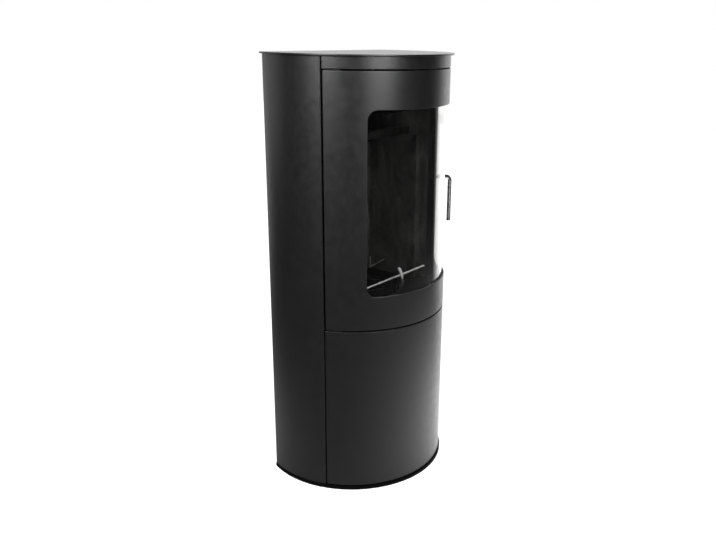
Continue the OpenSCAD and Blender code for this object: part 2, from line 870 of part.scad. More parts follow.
module door_sheet() {
    color("dimgray") difference() {
        arc_wall(skin_r, body_r, door_bottom, door_top, -door_edge_deg, door_edge_deg);
        window_cut(window_left_deg, window_right_deg, window_bottom, window_top, window_corner_r,
            skin_r, body_r);
        radial_bar(handle_deg, handle_z, rod_r + run_gap, skin_r - 1, body_r + 1);
    }
}

// Edge walls shared by both doors: a plate above and below and a stile at each end
module edge_walls(half_deg, z_low, z_high) {
    difference() {
        union() {
            for (z = [z_low, z_high - frame_plate_t])
                arc_wall(wall_r, fit_r, z, z + frame_plate_t, -half_deg, half_deg);
            for (side = [-1, 1])
                radial_plate(side * (half_deg - 0.4), frame_plate_t, wall_r + seam, fit_r - seam,
                    z_low + frame_plate_t / 2, z_high - frame_plate_t / 2);
        }
        at_deg(hinge_deg) translate([hinge_r, 0, z_low - 1])
            cylinder(r = pin_r + run_gap, h = z_high - z_low + 2);
    }
}

module door_frame() {
    color("darkslategray") {
        edge_walls(door_edge_deg - 0.4, door_bottom + washer_t, door_top - 0.5);
        for (deg = [seal_left_deg, seal_right_deg])
            radial_plate(deg, sleeve_t, sleeve_r, fit_r - seam, seal_bottom, seal_top);
        for (z = [seal_bottom, seal_top])
            arc_wall(sleeve_r + seam, fit_r, z - sleeve_t / 2, z + sleeve_t / 2, seal_left_deg, seal_right_deg);
        for (z = rib_z) {
            arc_wall(wall_r, fit_r, z, z + frame_plate_t, -door_edge_deg + 0.8, seal_left_deg);
            arc_wall(wall_r, fit_r, z, z + frame_plate_t, seal_right_deg, door_edge_deg - 0.8);
        }
    }
}

module door_glass() {
    color("lightgray", 0.4)
        arc_wall(glass_in_r, glass_r - seam, clip_z[0], clip_z[1], glass_left_deg, glass_right_deg);
}

module glass_gasket() {
    lap_deg = arc_deg(1, body_r);
    color("black") difference() {
        arc_wall(glass_r, skin_r - seam, clip_z[0], clip_z[1], glass_left_deg, glass_right_deg);
        window_cut(window_left_deg - lap_deg, window_right_deg + lap_deg, window_bottom - 1, window_top + 1,
            window_corner_r, glass_r, skin_r);
    }
}

module glass_clips() {
    color("gray") for (deg = clip_deg, up = [0, 1]) {
        half = arc_deg(clip_w / 2, glass_in_r);
        z = clip_z[up];
        away = up == 1 ? 1 : -1;
        face = glass_in_r - seam;
        arc_wall(face - clip_t, face, min(z - away * clip_reach, z + away * (1 + clip_t)),
            max(z - away * clip_reach, z + away * (1 + clip_t)), deg - half, deg + half);
        arc_wall(face - clip_t, fit_r, min(z + away, z + away * (1 + clip_t)),
            max(z + away, z + away * (1 + clip_t)), deg - half, deg + half);
        difference() {
            arc_wall(fit_r - clip_t, fit_r, min(z + away, z + away * clip_tail),
                max(z + away, z + away * clip_tail), deg - half, deg + half);
            radial_bar(deg, z + away * (clip_tail + 3) / 2, clip_screw_r + run_gap, fit_r - clip_t - 1, fit_r + 1);
        }
    }
}

module clip_screws() {
    color("silver") for (deg = clip_deg, up = [0, 1]) {
        away = up == 1 ? 1 : -1;
        z = clip_z[up] + away * (clip_tail + 3) / 2;
        radial_bar(deg, z, clip_screw_r, fit_r - clip_t - 3, fit_r, $fn = 24);
        radial_bar(deg, z, 3.6, fit_r - clip_t - 5, fit_r - clip_t - seam, $fn = 6);
    }
}

module door_seal() {
    r_low = frame_r + rest_gap;
    r_high = sleeve_r - seam;
    half = arc_deg(rope_w / 2, frame_r);
    color("black") difference() {
        arc_wall(r_low, r_high, seal_bottom - rope_w / 2, seal_top + rope_w / 2,
            seal_left_deg - half, seal_right_deg + half);
        window_cut(seal_left_deg + half, seal_right_deg - half, seal_bottom + rope_w / 2, seal_top - rope_w / 2,
            rope_corner_r, r_low, r_high);
    }
}

module handle_bush() {
    color("gray") difference() {
        radial_bar(handle_deg, handle_z, bush_r, cam_r + cam_t + 2, sqrt(skin_r ^ 2 - bush_r ^ 2) - seam);
        radial_bar(handle_deg, handle_z, rod_r + run_gap, cam_r, fit_r + 1);
    }
}

module door_handle() {
    color("silver") at_deg(handle_deg) {
        translate([cam_r, 0, handle_z]) rotate([0, 90, 0]) cylinder(r = rod_r, h = grip_r - bend_r - cam_r);
        translate([grip_r - bend_r, 0, handle_z - bend_r]) rotate([90, 0, 0])
            rotate_extrude(angle = 90) translate([bend_r, 0]) circle(r = rod_r);
        translate([grip_r, 0, handle_z - grip_len]) cylinder(r = rod_r, h = grip_len - bend_r);
    }
}

module latch_cam() {
    color("gray") at_deg(handle_deg) translate([cam_r, 0, handle_z]) difference() {
        union() {
            rotate([0, 90, 0]) cylinder(r = cam_w / 2 + 2, h = cam_t);
            translate([0, -cam_w / 2, -cam_len]) cube([cam_t, cam_w, cam_len]);
        }
        translate([-1, 0, 0]) rotate([0, 90, 0]) cylinder(r = rod_r, h = cam_t + 2);
    }
}

module lower_door_sheet() {
    color("dimgray") arc_wall(skin_r, body_r, lower_door_bottom, lower_door_top, -trim_edge_deg, trim_edge_deg);
}

module lower_door_frame() {
    color("darkslategray") edge_walls(trim_edge_deg - 0.4, lower_door_bottom + 0.5, lower_door_top - 0.5);
}

module magnet_catch() {
    color("black") at_deg(catch_deg)
        translate([post_r + seam, -6, catch_z]) cube([strike_r - rest_gap - seam - post_r, 12, catch_h]);
}

module strike_plate() {
    color("silver") at_deg(catch_deg)
        translate([strike_r, -6, catch_z - 5]) cube([strike_t, 16, catch_h + 10]);
}

// ---- Pieces that lift out ----

module guard_stem() {
    color("dimgray") difference() {
        union() {
            block([-stem_w / 2, stem_front, hearth_z],
                [stem_w / 2, stem_front + stem_t, guard_z - guard_d / 2 + saddle]);
            translate([0, stem_front + stem_t / 2, hearth_z - socket_h])
                cylinder(r = socket_r, h = socket_h + eps);
        }
        translate([-stem_w, guard_y, guard_z]) rotate([0, 90, 0]) cylinder(r = guard_d / 2, h = 2 * stem_w);
    }
}

module log_guard() {
    color("silver") {
        translate([-guard_len / 2, guard_y, guard_z]) rotate([0, 90, 0]) cylinder(r = guard_d / 2, h = guard_len);
        translate([-bow_w / 2, bow_y, bow_z]) rotate([0, 90, 0]) rotate([0, 0, -90 - bow_deg])
            rotate_extrude(angle = 2 * bow_deg) translate([bow_r - bow_t / 2, 0]) square([bow_t, bow_w]);
    }
}

// ---- Feet ----

module foot() {
    color("silver") {
        cylinder(r = foot_pad_r, h = pad_t);
        translate([0, 0, pad_t - eps]) cylinder(r = foot_r, h = foot_len - pad_t);
    }
}

module foot_front_left() {
    translate([-foot_x, foot_front_y, 0]) foot();
}

module foot_front_right() {
    translate([foot_x, foot_front_y, 0]) foot();
}

module foot_rear_left() {
    translate([-foot_x, foot_rear_y, 0]) foot();
}

module foot_rear_right() {
    translate([foot_x, foot_rear_y, 0]) foot();
}

module foot_nuts() {
    color("silver") foot_places() translate([0, 0, base_t]) difference() {
        cylinder(r = nut_r, h = nut_t, $fn = 6);
        translate([0, 0, -1]) cylinder(r = foot_r + run_gap, h = nut_t + 2);
    }
}

base_plate();
side_panel_left();
side_panel_right();
back_panel();
rear_heat_shield();
front_post_left();
front_post_right();
top_plate();
fascia_band();
firebox_shell();
front_frame();
flue_collar();
top_blank();
hearth_front();
hearth_rear();
hearth_sides();
board_left();
board_right();
board_back();
baffle();
smoke_deflector();
board_clips();
grate();
ash_box();
air_box();
air_spigot();
hinge_bracket_top();
hinge_bracket_middle();
latch_keeper();
magnet_catch();
back_screws();
frame_bolts();
foot_nuts();
door_sheet();
door_frame();
door_glass();
glass_gasket();
glass_clips();
clip_screws();
door_seal();
handle_bush();
door_handle();
latch_cam();
lower_door_sheet();
lower_door_frame();
strike_plate();
flue_cover();
guard_stem();
log_guard();
riddle_plate();
riddle_rod();
air_valve();
air_rod();
ash_pan();
ash_pan_handle();
foot_front_left();
foot_front_right();
foot_rear_left();
foot_rear_right();
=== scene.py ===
import json
import math
import bpy
import numpy as np
from mathutils import Matrix, Vector


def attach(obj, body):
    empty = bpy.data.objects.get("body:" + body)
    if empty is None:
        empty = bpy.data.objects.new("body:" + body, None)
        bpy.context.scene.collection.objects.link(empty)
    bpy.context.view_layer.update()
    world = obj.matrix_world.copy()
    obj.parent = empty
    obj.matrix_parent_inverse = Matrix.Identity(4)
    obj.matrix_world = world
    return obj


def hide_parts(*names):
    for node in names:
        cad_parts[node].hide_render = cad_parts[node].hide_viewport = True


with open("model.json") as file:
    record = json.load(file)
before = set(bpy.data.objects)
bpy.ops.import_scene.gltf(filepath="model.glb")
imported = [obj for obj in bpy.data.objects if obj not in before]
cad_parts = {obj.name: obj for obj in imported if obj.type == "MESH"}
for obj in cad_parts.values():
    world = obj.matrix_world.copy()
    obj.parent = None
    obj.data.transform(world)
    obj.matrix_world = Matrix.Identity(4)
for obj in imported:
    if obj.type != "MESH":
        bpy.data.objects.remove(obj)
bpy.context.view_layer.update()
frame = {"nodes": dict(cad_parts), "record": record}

nodes = frame["nodes"]
mm = 0.001

# The camera of the photograph: its place in metres, its angles in radians (yaw from +Y towards -X, pitch
# downwards, roll about the line of sight) and its lens in millimetres.
camera = {"place": (-1.4776, -1.2181, 1.0965), "yaw": -0.94130, "pitch": 0.3061, "roll": 0.0161,
          "lens": 38.67, "sensor": 36.0, "shift": (-0.0560, 0.0066), "clip": (0.02, 60)}


def makeCamera():
    a, p, q = camera["yaw"], camera["pitch"], camera["roll"]
    forward = Vector((-math.sin(a) * math.cos(p), math.cos(a) * math.cos(p), -math.sin(p)))
    right = forward.cross(Vector((0, 0, 1))).normalized()
    up = right.cross(forward)
    turned = right * math.cos(q) + up * math.sin(q)
    above = up * math.cos(q) - right * math.sin(q)
    data = bpy.data.cameras.new("camera")
    data.sensor_width, data.lens = camera["sensor"], camera["lens"]
    data.shift_x, data.shift_y = camera["shift"]
    data.clip_start, data.clip_end = camera["clip"]
    obj = bpy.data.objects.new("camera", data)
    obj.matrix_world = Matrix((turned, above, -forward)).transposed().to_4x4()
    obj.location = camera["place"]
    bpy.context.scene.collection.objects.link(obj)
    bpy.context.scene.camera = obj


makeCamera()
print("camera done")


# A surface is a pair of arrays: its points in millimetres and its four-sided faces. On a grid the face
# (i, j) joins the points (i, j), (i + 1, j), (i + 1, j + 1) and (i, j + 1). The last column joins the
# first one, and so does the last row where the rows are closed.
def gridFaces(rows, cols, closeRows):
    i = np.arange(rows if closeRows else rows - 1)[:, None]
    j = np.arange(cols)[None, :]
    i2, j2 = (i + 1) % rows, (j + 1) % cols
    return np.stack([i * cols + j, i2 * cols + j, i2 * cols + j2, i * cols + j2], -1).reshape(-1, 4)


# A grid of points as a surface: row i, column j holds P(i, j), and each row closes into a ring.
def gridSurface(points, closeRows=False):
    rows, cols = points.shape[:2]
    return points.reshape(-1, 3), gridFaces(rows, cols, closeRows)


# Points that share a cell of 1/2000 mm become one, and a face that loses a corner becomes a triangle.
weldCells = 2000


def welded(points, faces):
    key = np.round(points * weldCells).astype(np.int64)
    _, first, back = np.unique(key, axis=0, return_index=True, return_inverse=True)
    back = back.reshape(-1)
    q = back[faces]
    same = q == np.roll(q, -1, axis=1)
    count = same.sum(1)
    quads = q[count == 0]
    one = q[count == 1]
    at = same[count == 1].argmax(1)
    keep = (at[:, None] + np.array([1, 2, 3])[None, :]) % 4
    return points[first], quads, np.take_along_axis(one, keep, 1)


# The signed volume tells whether the faces look outwards.
def outward(points, faces):
    a, b, c, d = (points[faces[:, k]] for k in range(4))
    volume = (np.einsum("ij,ij->i", a, np.cross(b, c)) + np.einsum("ij,ij->i", a, np.cross(c, d))).sum()
    return faces if volume > 0 else faces[:, ::-1]


# One piece of the model from its surfaces, riding on a body and standing in for the nodes it replaces.
def makePiece(name, surfaces, material, body, replaced):
    points, quads, tris, start = [], [], [], 0
    for p, f in surfaces:
        p, q, t = welded(p, outward(p - p.mean(0), f))
        points.append(p)
        quads.append(q + start)
        tris.append(t + start)
        start += len(p)
    points = np.concatenate(points) * mm
    faces = np.concatenate(quads).tolist() + np.concatenate(tris).tolist()
    mesh = bpy.data.meshes.new(name)
    mesh.from_pydata(points.tolist(), [], faces)
    mesh.update()
    mesh.polygons.foreach_set("use_smooth", np.full(len(mesh.polygons), True))
    mesh.materials.append(material)
    obj = bpy.data.objects.new(name, mesh)
    bpy.context.scene.collection.objects.link(obj)
    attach(obj, body)
    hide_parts(*replaced)


# A quarter round from 0 to 90 degrees, as (sine, 1 - cosine) pairs.
def quarter(n=4):
    a = np.linspace(0, np.pi / 2, n + 1)
    return np.stack([np.sin(a), 1 - np.cos(a)], -1)


# How far from a corner the flat face has begun: two radii of its rounding and 0.4 mm.
def holdFrom(edge):
    return 2 * edge + 0.4


# A path for a bent sheet: straight and curved stretches, each (length, turn in radians) from a start
# point and heading. path(s) gives the point and the left-hand normal at a length s along it. On a curved
# stretch from p with heading h and radius r = length / turn, the heading at s is a = h + s / r and the
# point is p + r (sin a - sin h, cos h - cos a); on a straight one the point is p + s (cos h, sin h).
class Path:
    def __init__(self, start, heading, stretches):
        self.parts, p, h, s = [], np.array(start, float), heading, 0.0
        for length, turn in stretches:
            self.parts.append((s, s + length, p.copy(), h, turn))
            p = p + self.step(length, length, h, turn)
            h, s = h + turn, s + length
        self.length = s

    def step(self, s, length, h, turn):
        s = np.asarray(s, float)
        if abs(turn) < 1e-9:
            return np.stack([s * math.cos(h), s * math.sin(h)], -1)
        radius = length / turn
        a = h + turn * s / length
        return radius * np.stack([np.sin(a) - math.sin(h), math.cos(h) - np.cos(a)], -1)

    def __call__(self, s):
        s = np.asarray(s, float)
        point, normal = np.zeros(s.shape + (2,)), np.zeros(s.shape + (2,))
        for k, (low, high, p, h, turn) in enumerate(self.parts):
            last = k == len(self.parts) - 1
            here = (s >= low - 1e-9) & ((s <= high + 1e-9) if last else (s < high - 1e-9))
            point[here] = p + self.step(s[here] - low, high - low, h, turn)
            a = h + turn * (s[here] - low) / (high - low)
            normal[here] = np.stack([-np.sin(a), np.cos(a)], -1)
        return point, normal


# Samples along a path: its marks, with one close beside each mark and steps no longer than a limit in
# millimetres or in turn.
sampling = {"step": 4.0, "turn": 0.26, "beside": 0.5}


def pathSamples(path, edge):
    s = [np.array([edge, holdFrom(edge)])]
    for low, high, _, _, turn in path.parts:
        byLength = int(math.ceil((high - low) / sampling["step"]))
        byTurn = int(math.ceil(abs(turn) / sampling["turn"]))
        s.append(np.linspace(low, high, max(byLength, byTurn, 1) + 1))
        s.append(np.array([low + sampling["beside"], high - sampling["beside"]]))
    s.append(np.array([path.length - holdFrom(edge), path.length - edge]))
    s = np.unique(np.round(np.concatenate(s), 6))
    return s[(s >= edge - 1e-6) & (s <= path.length - edge + 1e-6)]


# The outline of a bent sheet: with n the normal at s and h = t / 2 - inset, one side is path(s) + h n,
# the other path(s) - h n, and quarter rounds join them at the two ends.
def sheetOutline(path, samples, t, edge, inset):
    half = max(t / 2 - inset, 0)
    r = max(min(edge - inset, half), 0)
    s = (samples - samples[0]) / (samples[-1] - samples[0])
    ends = inset + r
    s = ends + s * (path.length - 2 * ends)
    point, normal = path(s)
    q = quarter()
    along = np.stack([normal[:, 1], -normal[:, 0]], -1)

    def side(sign):
        return point + sign * normal * half

    def end(k, forward, sign):
        return (point[k] + forward * along[k] * r * q[:, :1] + sign * normal[k] * (half - r * q[:, 1:]))

    return np.concatenate([side(1), end(-1, 1, 1)[1:], end(-1, 1, -1)[::-1][:-1], side(-1)[::-1],
                           end(0, -1, -1)[1:], end(0, -1, 1)[::-1][:-1]])


# A bent sheet is its outline carried from low to high: P(z, s) = (outline(s, inset(z)), z). The inset is
# the sheet's half thickness at the two ends, where the sheet closes on its middle line, and then falls
# from the edge radius to 0 along a quarter round.
def bentSheet(path, t, low, high, edge):
    samples = pathSamples(path, edge)
    rounds = [(edge * b, edge * (1 - a)) for a, b in quarter()]
    rings = [(low, t / 2)] + [(low + rise, inset) for rise, inset in rounds]
    rings += [(low + holdFrom(edge), 0.0), (high - holdFrom(edge), 0.0)]
    rings += [(high - rise, inset) for rise, inset in rounds[::-1]] + [(high, t / 2)]
    outlines = [np.concatenate([o, np.full((len(o), 1), z)], 1)
                for z, o in ((z, sheetOutline(path, samples, t, edge, inset)) for z, inset in rings)]
    return gridSurface(np.array(outlines))


# An arc of the round body from one angle to another, counted from the front towards +X, as a path. At
# an angle a its point is r (sin a, -cos a).
def arcPath(r, lowDeg, highDeg):
    a = math.radians(highDeg)
    turn = -math.radians(highDeg - lowDeg)
    return Path((r * math.sin(a), -r * math.cos(a)), a + math.pi, [(r * abs(turn), turn)])


# A surface of revolution: with u and v two unit vectors across the axis w, a profile point (r, h) turned
# by an angle a lies at P(r, h, a) = origin + r (u cos a + v sin a) + h w.
def revolved(profile, origin, axis, count):
    axis = np.array(axis, float) / np.linalg.norm(axis)
    side = np.cross(axis, [0, 0, 1.0] if abs(axis[2]) < 0.9 else [1.0, 0, 0])
    side /= np.linalg.norm(side)
    other = np.cross(axis, side)
    a = np.arange(count) * 2 * np.pi / count
    ring = np.cos(a)[:, None] * side + np.sin(a)[:, None] * other
    profile = np.array(profile, float)
    return gridSurface(np.array(origin, float) + profile[:, :1, None] * ring[None]
                       + profile[:, 1:, None] * axis)


# Rounds the corners of a profile of (radius, height) points. With a and b the unit vectors from a corner
# p to its neighbours and c the cut, the rounding is (1 - t)^2 (p + c a) + 2 t (1 - t) p + t^2 (p + c b)
# for t from 0 to 1. The cut is at most "share" of a side, and a point further along each side, at "hold"
# cuts, keeps the rest of it straight.
rounding = {"share": 0.45, "hold": 1.8, "holdShare": 0.49}


def roundedProfile(points, r, n=3):
    points = np.array(points, float)
    out = [points[0][None]]
    for k in range(1, len(points) - 1):
        a, b = points[k - 1] - points[k], points[k + 1] - points[k]
        la, lb = np.linalg.norm(a), np.linalg.norm(b)
        cut = min(r, la * rounding["share"], lb * rounding["share"])
        a, b = a / la, b / lb
        t = np.linspace(0, 1, n + 2)[:, None]
        curve = ((1 - t) ** 2 * (points[k] + a * cut) + 2 * t * (1 - t) * points[k]
                 + t ** 2 * (points[k] + b * cut))
        before = min(cut * rounding["hold"], la * rounding["holdShare"])
        after = min(cut * rounding["hold"], lb * rounding["holdShare"])
        out += [(points[k] + a * before)[None], curve, (points[k] + b * after)[None]]
    out.append(points[-1][None])
    return np.concatenate(out)


# A round rod along a line: with w the tangent and u the side vector at a point p, and v = u x w, the
# angle a of its circle of radius r lies at P = p + r (u cos a + v sin a).
def sweptBy(points, tangent, side, radii, count):
    other = np.cross(side, tangent)
    a = np.arange(count) * 2 * np.pi / count
    ring = np.cos(a)[None, :, None] * side[:, None] + np.sin(a)[None, :, None] * other[:, None]
    return gridSurface(points[:, None] + radii[:, None, None] * ring)


# An empty material: its node tree, its shader and the Object coordinates that its patterns read.
def blank(name):
    material = bpy.data.materials.new(name)
    material.use_nodes = True
    tree = material.node_tree
    tree.nodes.clear()
    out = tree.nodes.new("ShaderNodeOutputMaterial")
    shader = tree.nodes.new("ShaderNodeBsdfPrincipled")
    tree.links.new(shader.outputs[0], out.inputs[0])
    place = tree.nodes.new("ShaderNodeTexCoord").outputs["Object"]
    return material, tree, shader, place


def stretched(tree, place, scale):
    node = tree.nodes.new("ShaderNodeMapping")
    node.inputs["Scale"].default_value = scale
    tree.links.new(place, node.inputs["Vector"])
    return node.outputs[0]


def noise(tree, place, scale, detail=3.0, rough=0.5, distortion=0.0):
    node = tree.nodes.new("ShaderNodeTexNoise")
    node.inputs["Scale"].default_value = scale
    node.inputs["Detail"].default_value = detail
    node.inputs["Roughness"].default_value = rough
    node.inputs["Distortion"].default_value = distortion
    tree.links.new(place, node.inputs["Vector"])
    return node.outputs["Fac"]


def cells(tree, place, scale, output="Distance"):
    node = tree.nodes.new("ShaderNodeTexVoronoi")
    node.inputs["Scale"].default_value = scale
    tree.links.new(place, node.inputs["Vector"])
    return node.outputs[output]


def ramp(tree, value, stops):
    node = tree.nodes.new("ShaderNodeValToRGB")
    band = node.color_ramp
    while len(band.elements) < len(stops):
        band.elements.new(0.5)
    for element, (at, colour) in zip(band.elements, stops):
        element.position = at
        element.color = (*colour, 1)
    tree.links.new(value, node.inputs[0])
    return node.outputs[0]


# Noise runs from about 0.3 to 0.7; this spreads it over a wanted range.
def spread(tree, value, low, high, fromLow=0.3, fromHigh=0.7):
    node = tree.nodes.new("ShaderNodeMapRange")
    for k, x in (("From Min", fromLow), ("From Max", fromHigh), ("To Min", low), ("To Max", high)):
        node.inputs[k].default_value = x
    tree.links.new(value, node.inputs["Value"])
    return node.outputs[0]


def maths(tree, kind, a, b=0.0):
    node = tree.nodes.new("ShaderNodeMath")
    node.operation = kind
    for k, x in enumerate((a, b)):
        if isinstance(x, (int, float)):
            node.inputs[k].default_value = x
        else:
            tree.links.new(x, node.inputs[k])
    return node.outputs[0]


def mixed(tree, share, a, b):
    node = tree.nodes.new("ShaderNodeMix")
    node.data_type = "RGBA"
    for k, x in ((0, share), (6, a), (7, b)):
        if isinstance(x, tuple):
            node.inputs[k].default_value = (*x, 1)
        else:
            tree.links.new(x, node.inputs[k])
    return node.outputs[2]


def bumped(tree, shader, height, strength, distance, below=None):
    node = tree.nodes.new("ShaderNodeBump")
    node.inputs["Strength"].default_value = strength
    node.inputs["Distance"].default_value = distance
    tree.links.new(height, node.inputs["Height"])
    if below is not None:
        tree.links.new(below, node.inputs["Normal"])
    tree.links.new(node.outputs[0], shader.inputs["Normal"])
    return node.outputs[0]


# Sprayed heat-proof paint: fine grain, faint orange peel, slow changes of tone and sheen. Here and in
# the other finishes the scale of a pattern is its number of waves in a metre.
paintScale = {"tone": 9, "grain": 1900, "peel": 420, "dust": 22, "sheen": 60}


def paint(name, low, high, rough, specular=0.5, grain=0.6, dust=0.0):
    material, tree, shader, place = blank(name)
    slow = noise(tree, place, paintScale["tone"], 4, 0.55)
    fine = noise(tree, place, paintScale["grain"], 2, 0.6)
    peel = noise(tree, place, paintScale["peel"], 2, 0.5)
    tone = ramp(tree, slow, [(0.3, low), (0.7, high)])
    speck = ramp(tree, fine, [(0.35, (0.72,) * 3), (0.7, (1.0,) * 3)])
    node = tree.nodes.new("ShaderNodeMix")
    node.data_type, node.blend_type = "RGBA", "MULTIPLY"
    node.inputs[0].default_value = 1.0
    tree.links.new(tone, node.inputs[6])
    tree.links.new(speck, node.inputs[7])
    colour = node.outputs[2]
    if dust > 0:
        cloud = noise(tree, place, paintScale["dust"], 6, 0.7, 0.4)
        share = spread(tree, cloud, 0.0, dust, 0.45, 0.75)
        colour = mixed(tree, share, colour, (0.055, 0.052, 0.048))
    tree.links.new(colour, shader.inputs["Base Color"])
    sheen = noise(tree, place, paintScale["sheen"], 3)
    tree.links.new(spread(tree, sheen, rough - 0.035, rough + 0.035), shader.inputs["Roughness"])
    shader.inputs["Specular IOR Level"].default_value = specular
    below = bumped(tree, shader, peel, 0.18, 0.0004)
    bumped(tree, shader, fine, grain * 0.35, 0.00012, below)
    return material


# Brushed or drawn stainless steel: fine streaks along one axis, faint smudges. scale gives the streaks'
# waves along each axis, and stretch draws its highlights out.
def steel(name, colour, rough, scale=(30, 30, 900), streak=0.25, stretch=0.0):
    material, tree, shader, place = blank(name)
    if stretch:
        shader.inputs["Anisotropic"].default_value = stretch
        shader.inputs["Anisotropic Rotation"].default_value = 0.25
    lines = noise(tree, stretched(tree, place, scale), 1.0, 3, 0.6)
    smudge = noise(tree, place, 45, 4, 0.6)
    darker = tuple(c * 0.82 for c in colour)
    tree.links.new(ramp(tree, lines, [(0.3, darker), (0.7, colour)]), shader.inputs["Base Color"])
    shader.inputs["Metallic"].default_value = 1.0
    tree.links.new(maths(tree, "ADD", spread(tree, lines, rough * 0.8, rough * 1.2),
                         spread(tree, smudge, 0.0, 0.08)), shader.inputs["Roughness"])
    bumped(tree, shader, lines, streak, 0.0001)
    return material


# Zinc-coated steel: a spangle of flat cells with their own tone, and fine grain.
def zinc(name, low, high, rough, scale=110):
    material, tree, shader, place = blank(name)
    spangle = cells(tree, place, scale, "Color")
    split = tree.nodes.new("ShaderNodeSeparateColor")
    tree.links.new(spangle, split.inputs[0])
    grain = noise(tree, place, 900, 3)
    tree.links.new(ramp(tree, split.outputs[0], [(0.1, low), (0.9, high)]), shader.inputs["Base Color"])
    shader.inputs["Metallic"].default_value = 1.0
    tree.links.new(maths(tree, "ADD", spread(tree, split.outputs[1], rough - 0.07, rough + 0.07, 0, 1),
                         spread(tree, grain, -0.03, 0.03)), shader.inputs["Roughness"])
    bumped(tree, shader, grain, 0.15, 0.0001)
    return material


# Cast iron: a sandy skin with pits and a dull dark coat.
def castIron(name):
    material, tree, shader, place = blank(name)
    sand = noise(tree, place, 700, 5, 0.65)
    lumps = cells(tree, place, 380)
    tree.links.new(ramp(tree, sand, [(0.3, (0.018, 0.017, 0.016)), (0.75, (0.055, 0.052, 0.05))]),
                   shader.inputs["Base Color"])
    shader.inputs["Metallic"].default_value = 0.55
    tree.links.new(spread(tree, sand, 0.55, 0.75), shader.inputs["Roughness"])
    below = bumped(tree, shader, lumps, 0.35, 0.0006)
    bumped(tree, shader, sand, 0.6, 0.0004, below)
    return material


# Pressed lining board: a mottled mineral face with fine pores. soot is the share that soot darkens.
def lining(name, clean, sooty, soot):
    material, tree, shader, place = blank(name)
    mottle = noise(tree, place, 140, 6, 0.65)
    cloud = noise(tree, stretched(tree, place, (1, 1, 0.45)), 14, 5, 0.6, 0.5)
    pores = cells(tree, place, 620)
    face = ramp(tree, mottle, [(0.3, tuple(c * 0.75 for c in clean)), (0.7, clean)])
    dark = ramp(tree, mottle, [(0.3, tuple(c * 0.6 for c in sooty)), (0.7, sooty)])
    share = spread(tree, cloud, soot - 0.2, min(soot + 0.2, 1.0), 0.35, 0.65)
    tree.links.new(mixed(tree, share, face, dark), shader.inputs["Base Color"])
    shader.inputs["Roughness"].default_value = 0.92
    shader.inputs["Specular IOR Level"].default_value = 0.15
    below = bumped(tree, shader, mottle, 0.5, 0.0006)
    bumped(tree, shader, pores, 0.35, 0.0004, below)
    return material


# Glass fibre: short hairs over a stained ground. The strands of the rope are in its mesh.
def rope(name, colour):
    material, tree, shader, place = blank(name)
    strand = noise(tree, stretched(tree, place, (1, 1, 0.6)), 900, 4, 0.7)
    stain = noise(tree, place, 30, 4)
    dark = tuple(c * 0.45 for c in colour)
    tone = ramp(tree, strand, [(0.3, dark), (0.7, colour)])
    tree.links.new(mixed(tree, spread(tree, stain, 0.0, 0.6), tone, (0.02, 0.019, 0.018)),
                   shader.inputs["Base Color"])
    shader.inputs["Roughness"].default_value = 0.95
    shader.inputs["Sheen Weight"].default_value = 0.3
    bumped(tree, shader, strand, 0.6, 0.0004)
    return material


# Ceramic glass: clear, faintly grey, with vertical wipe marks that only change its gloss and tint.
def glass(name):
    material, tree, shader, place = blank(name)
    marks = noise(tree, stretched(tree, place, (1, 1, 0.06)), 60, 5, 0.6, 0.3)
    tree.links.new(ramp(tree, marks, [(0.35, (0.82, 0.82, 0.81)), (0.7, (0.93, 0.93, 0.925))]),
                   shader.inputs["Base Color"])
    shader.inputs["Transmission Weight"].default_value = 1.0
    shader.inputs["IOR"].default_value = 1.5
    tree.links.new(spread(tree, marks, 0.0, 0.04), shader.inputs["Roughness"])
    return material


# Moulded plastic of the magnet catch, with a fine grain.
def plastic(name, colour):
    material, tree, shader, place = blank(name)
    grain = noise(tree, place, 1500, 3)
    tree.links.new(ramp(tree, grain, [(0.3, tuple(c * 0.8 for c in colour)), (0.7, colour)]),
                   shader.inputs["Base Color"])
    tree.links.new(spread(tree, grain, 0.4, 0.5), shader.inputs["Roughness"])
    bumped(tree, shader, grain, 0.2, 0.0001)
    return material


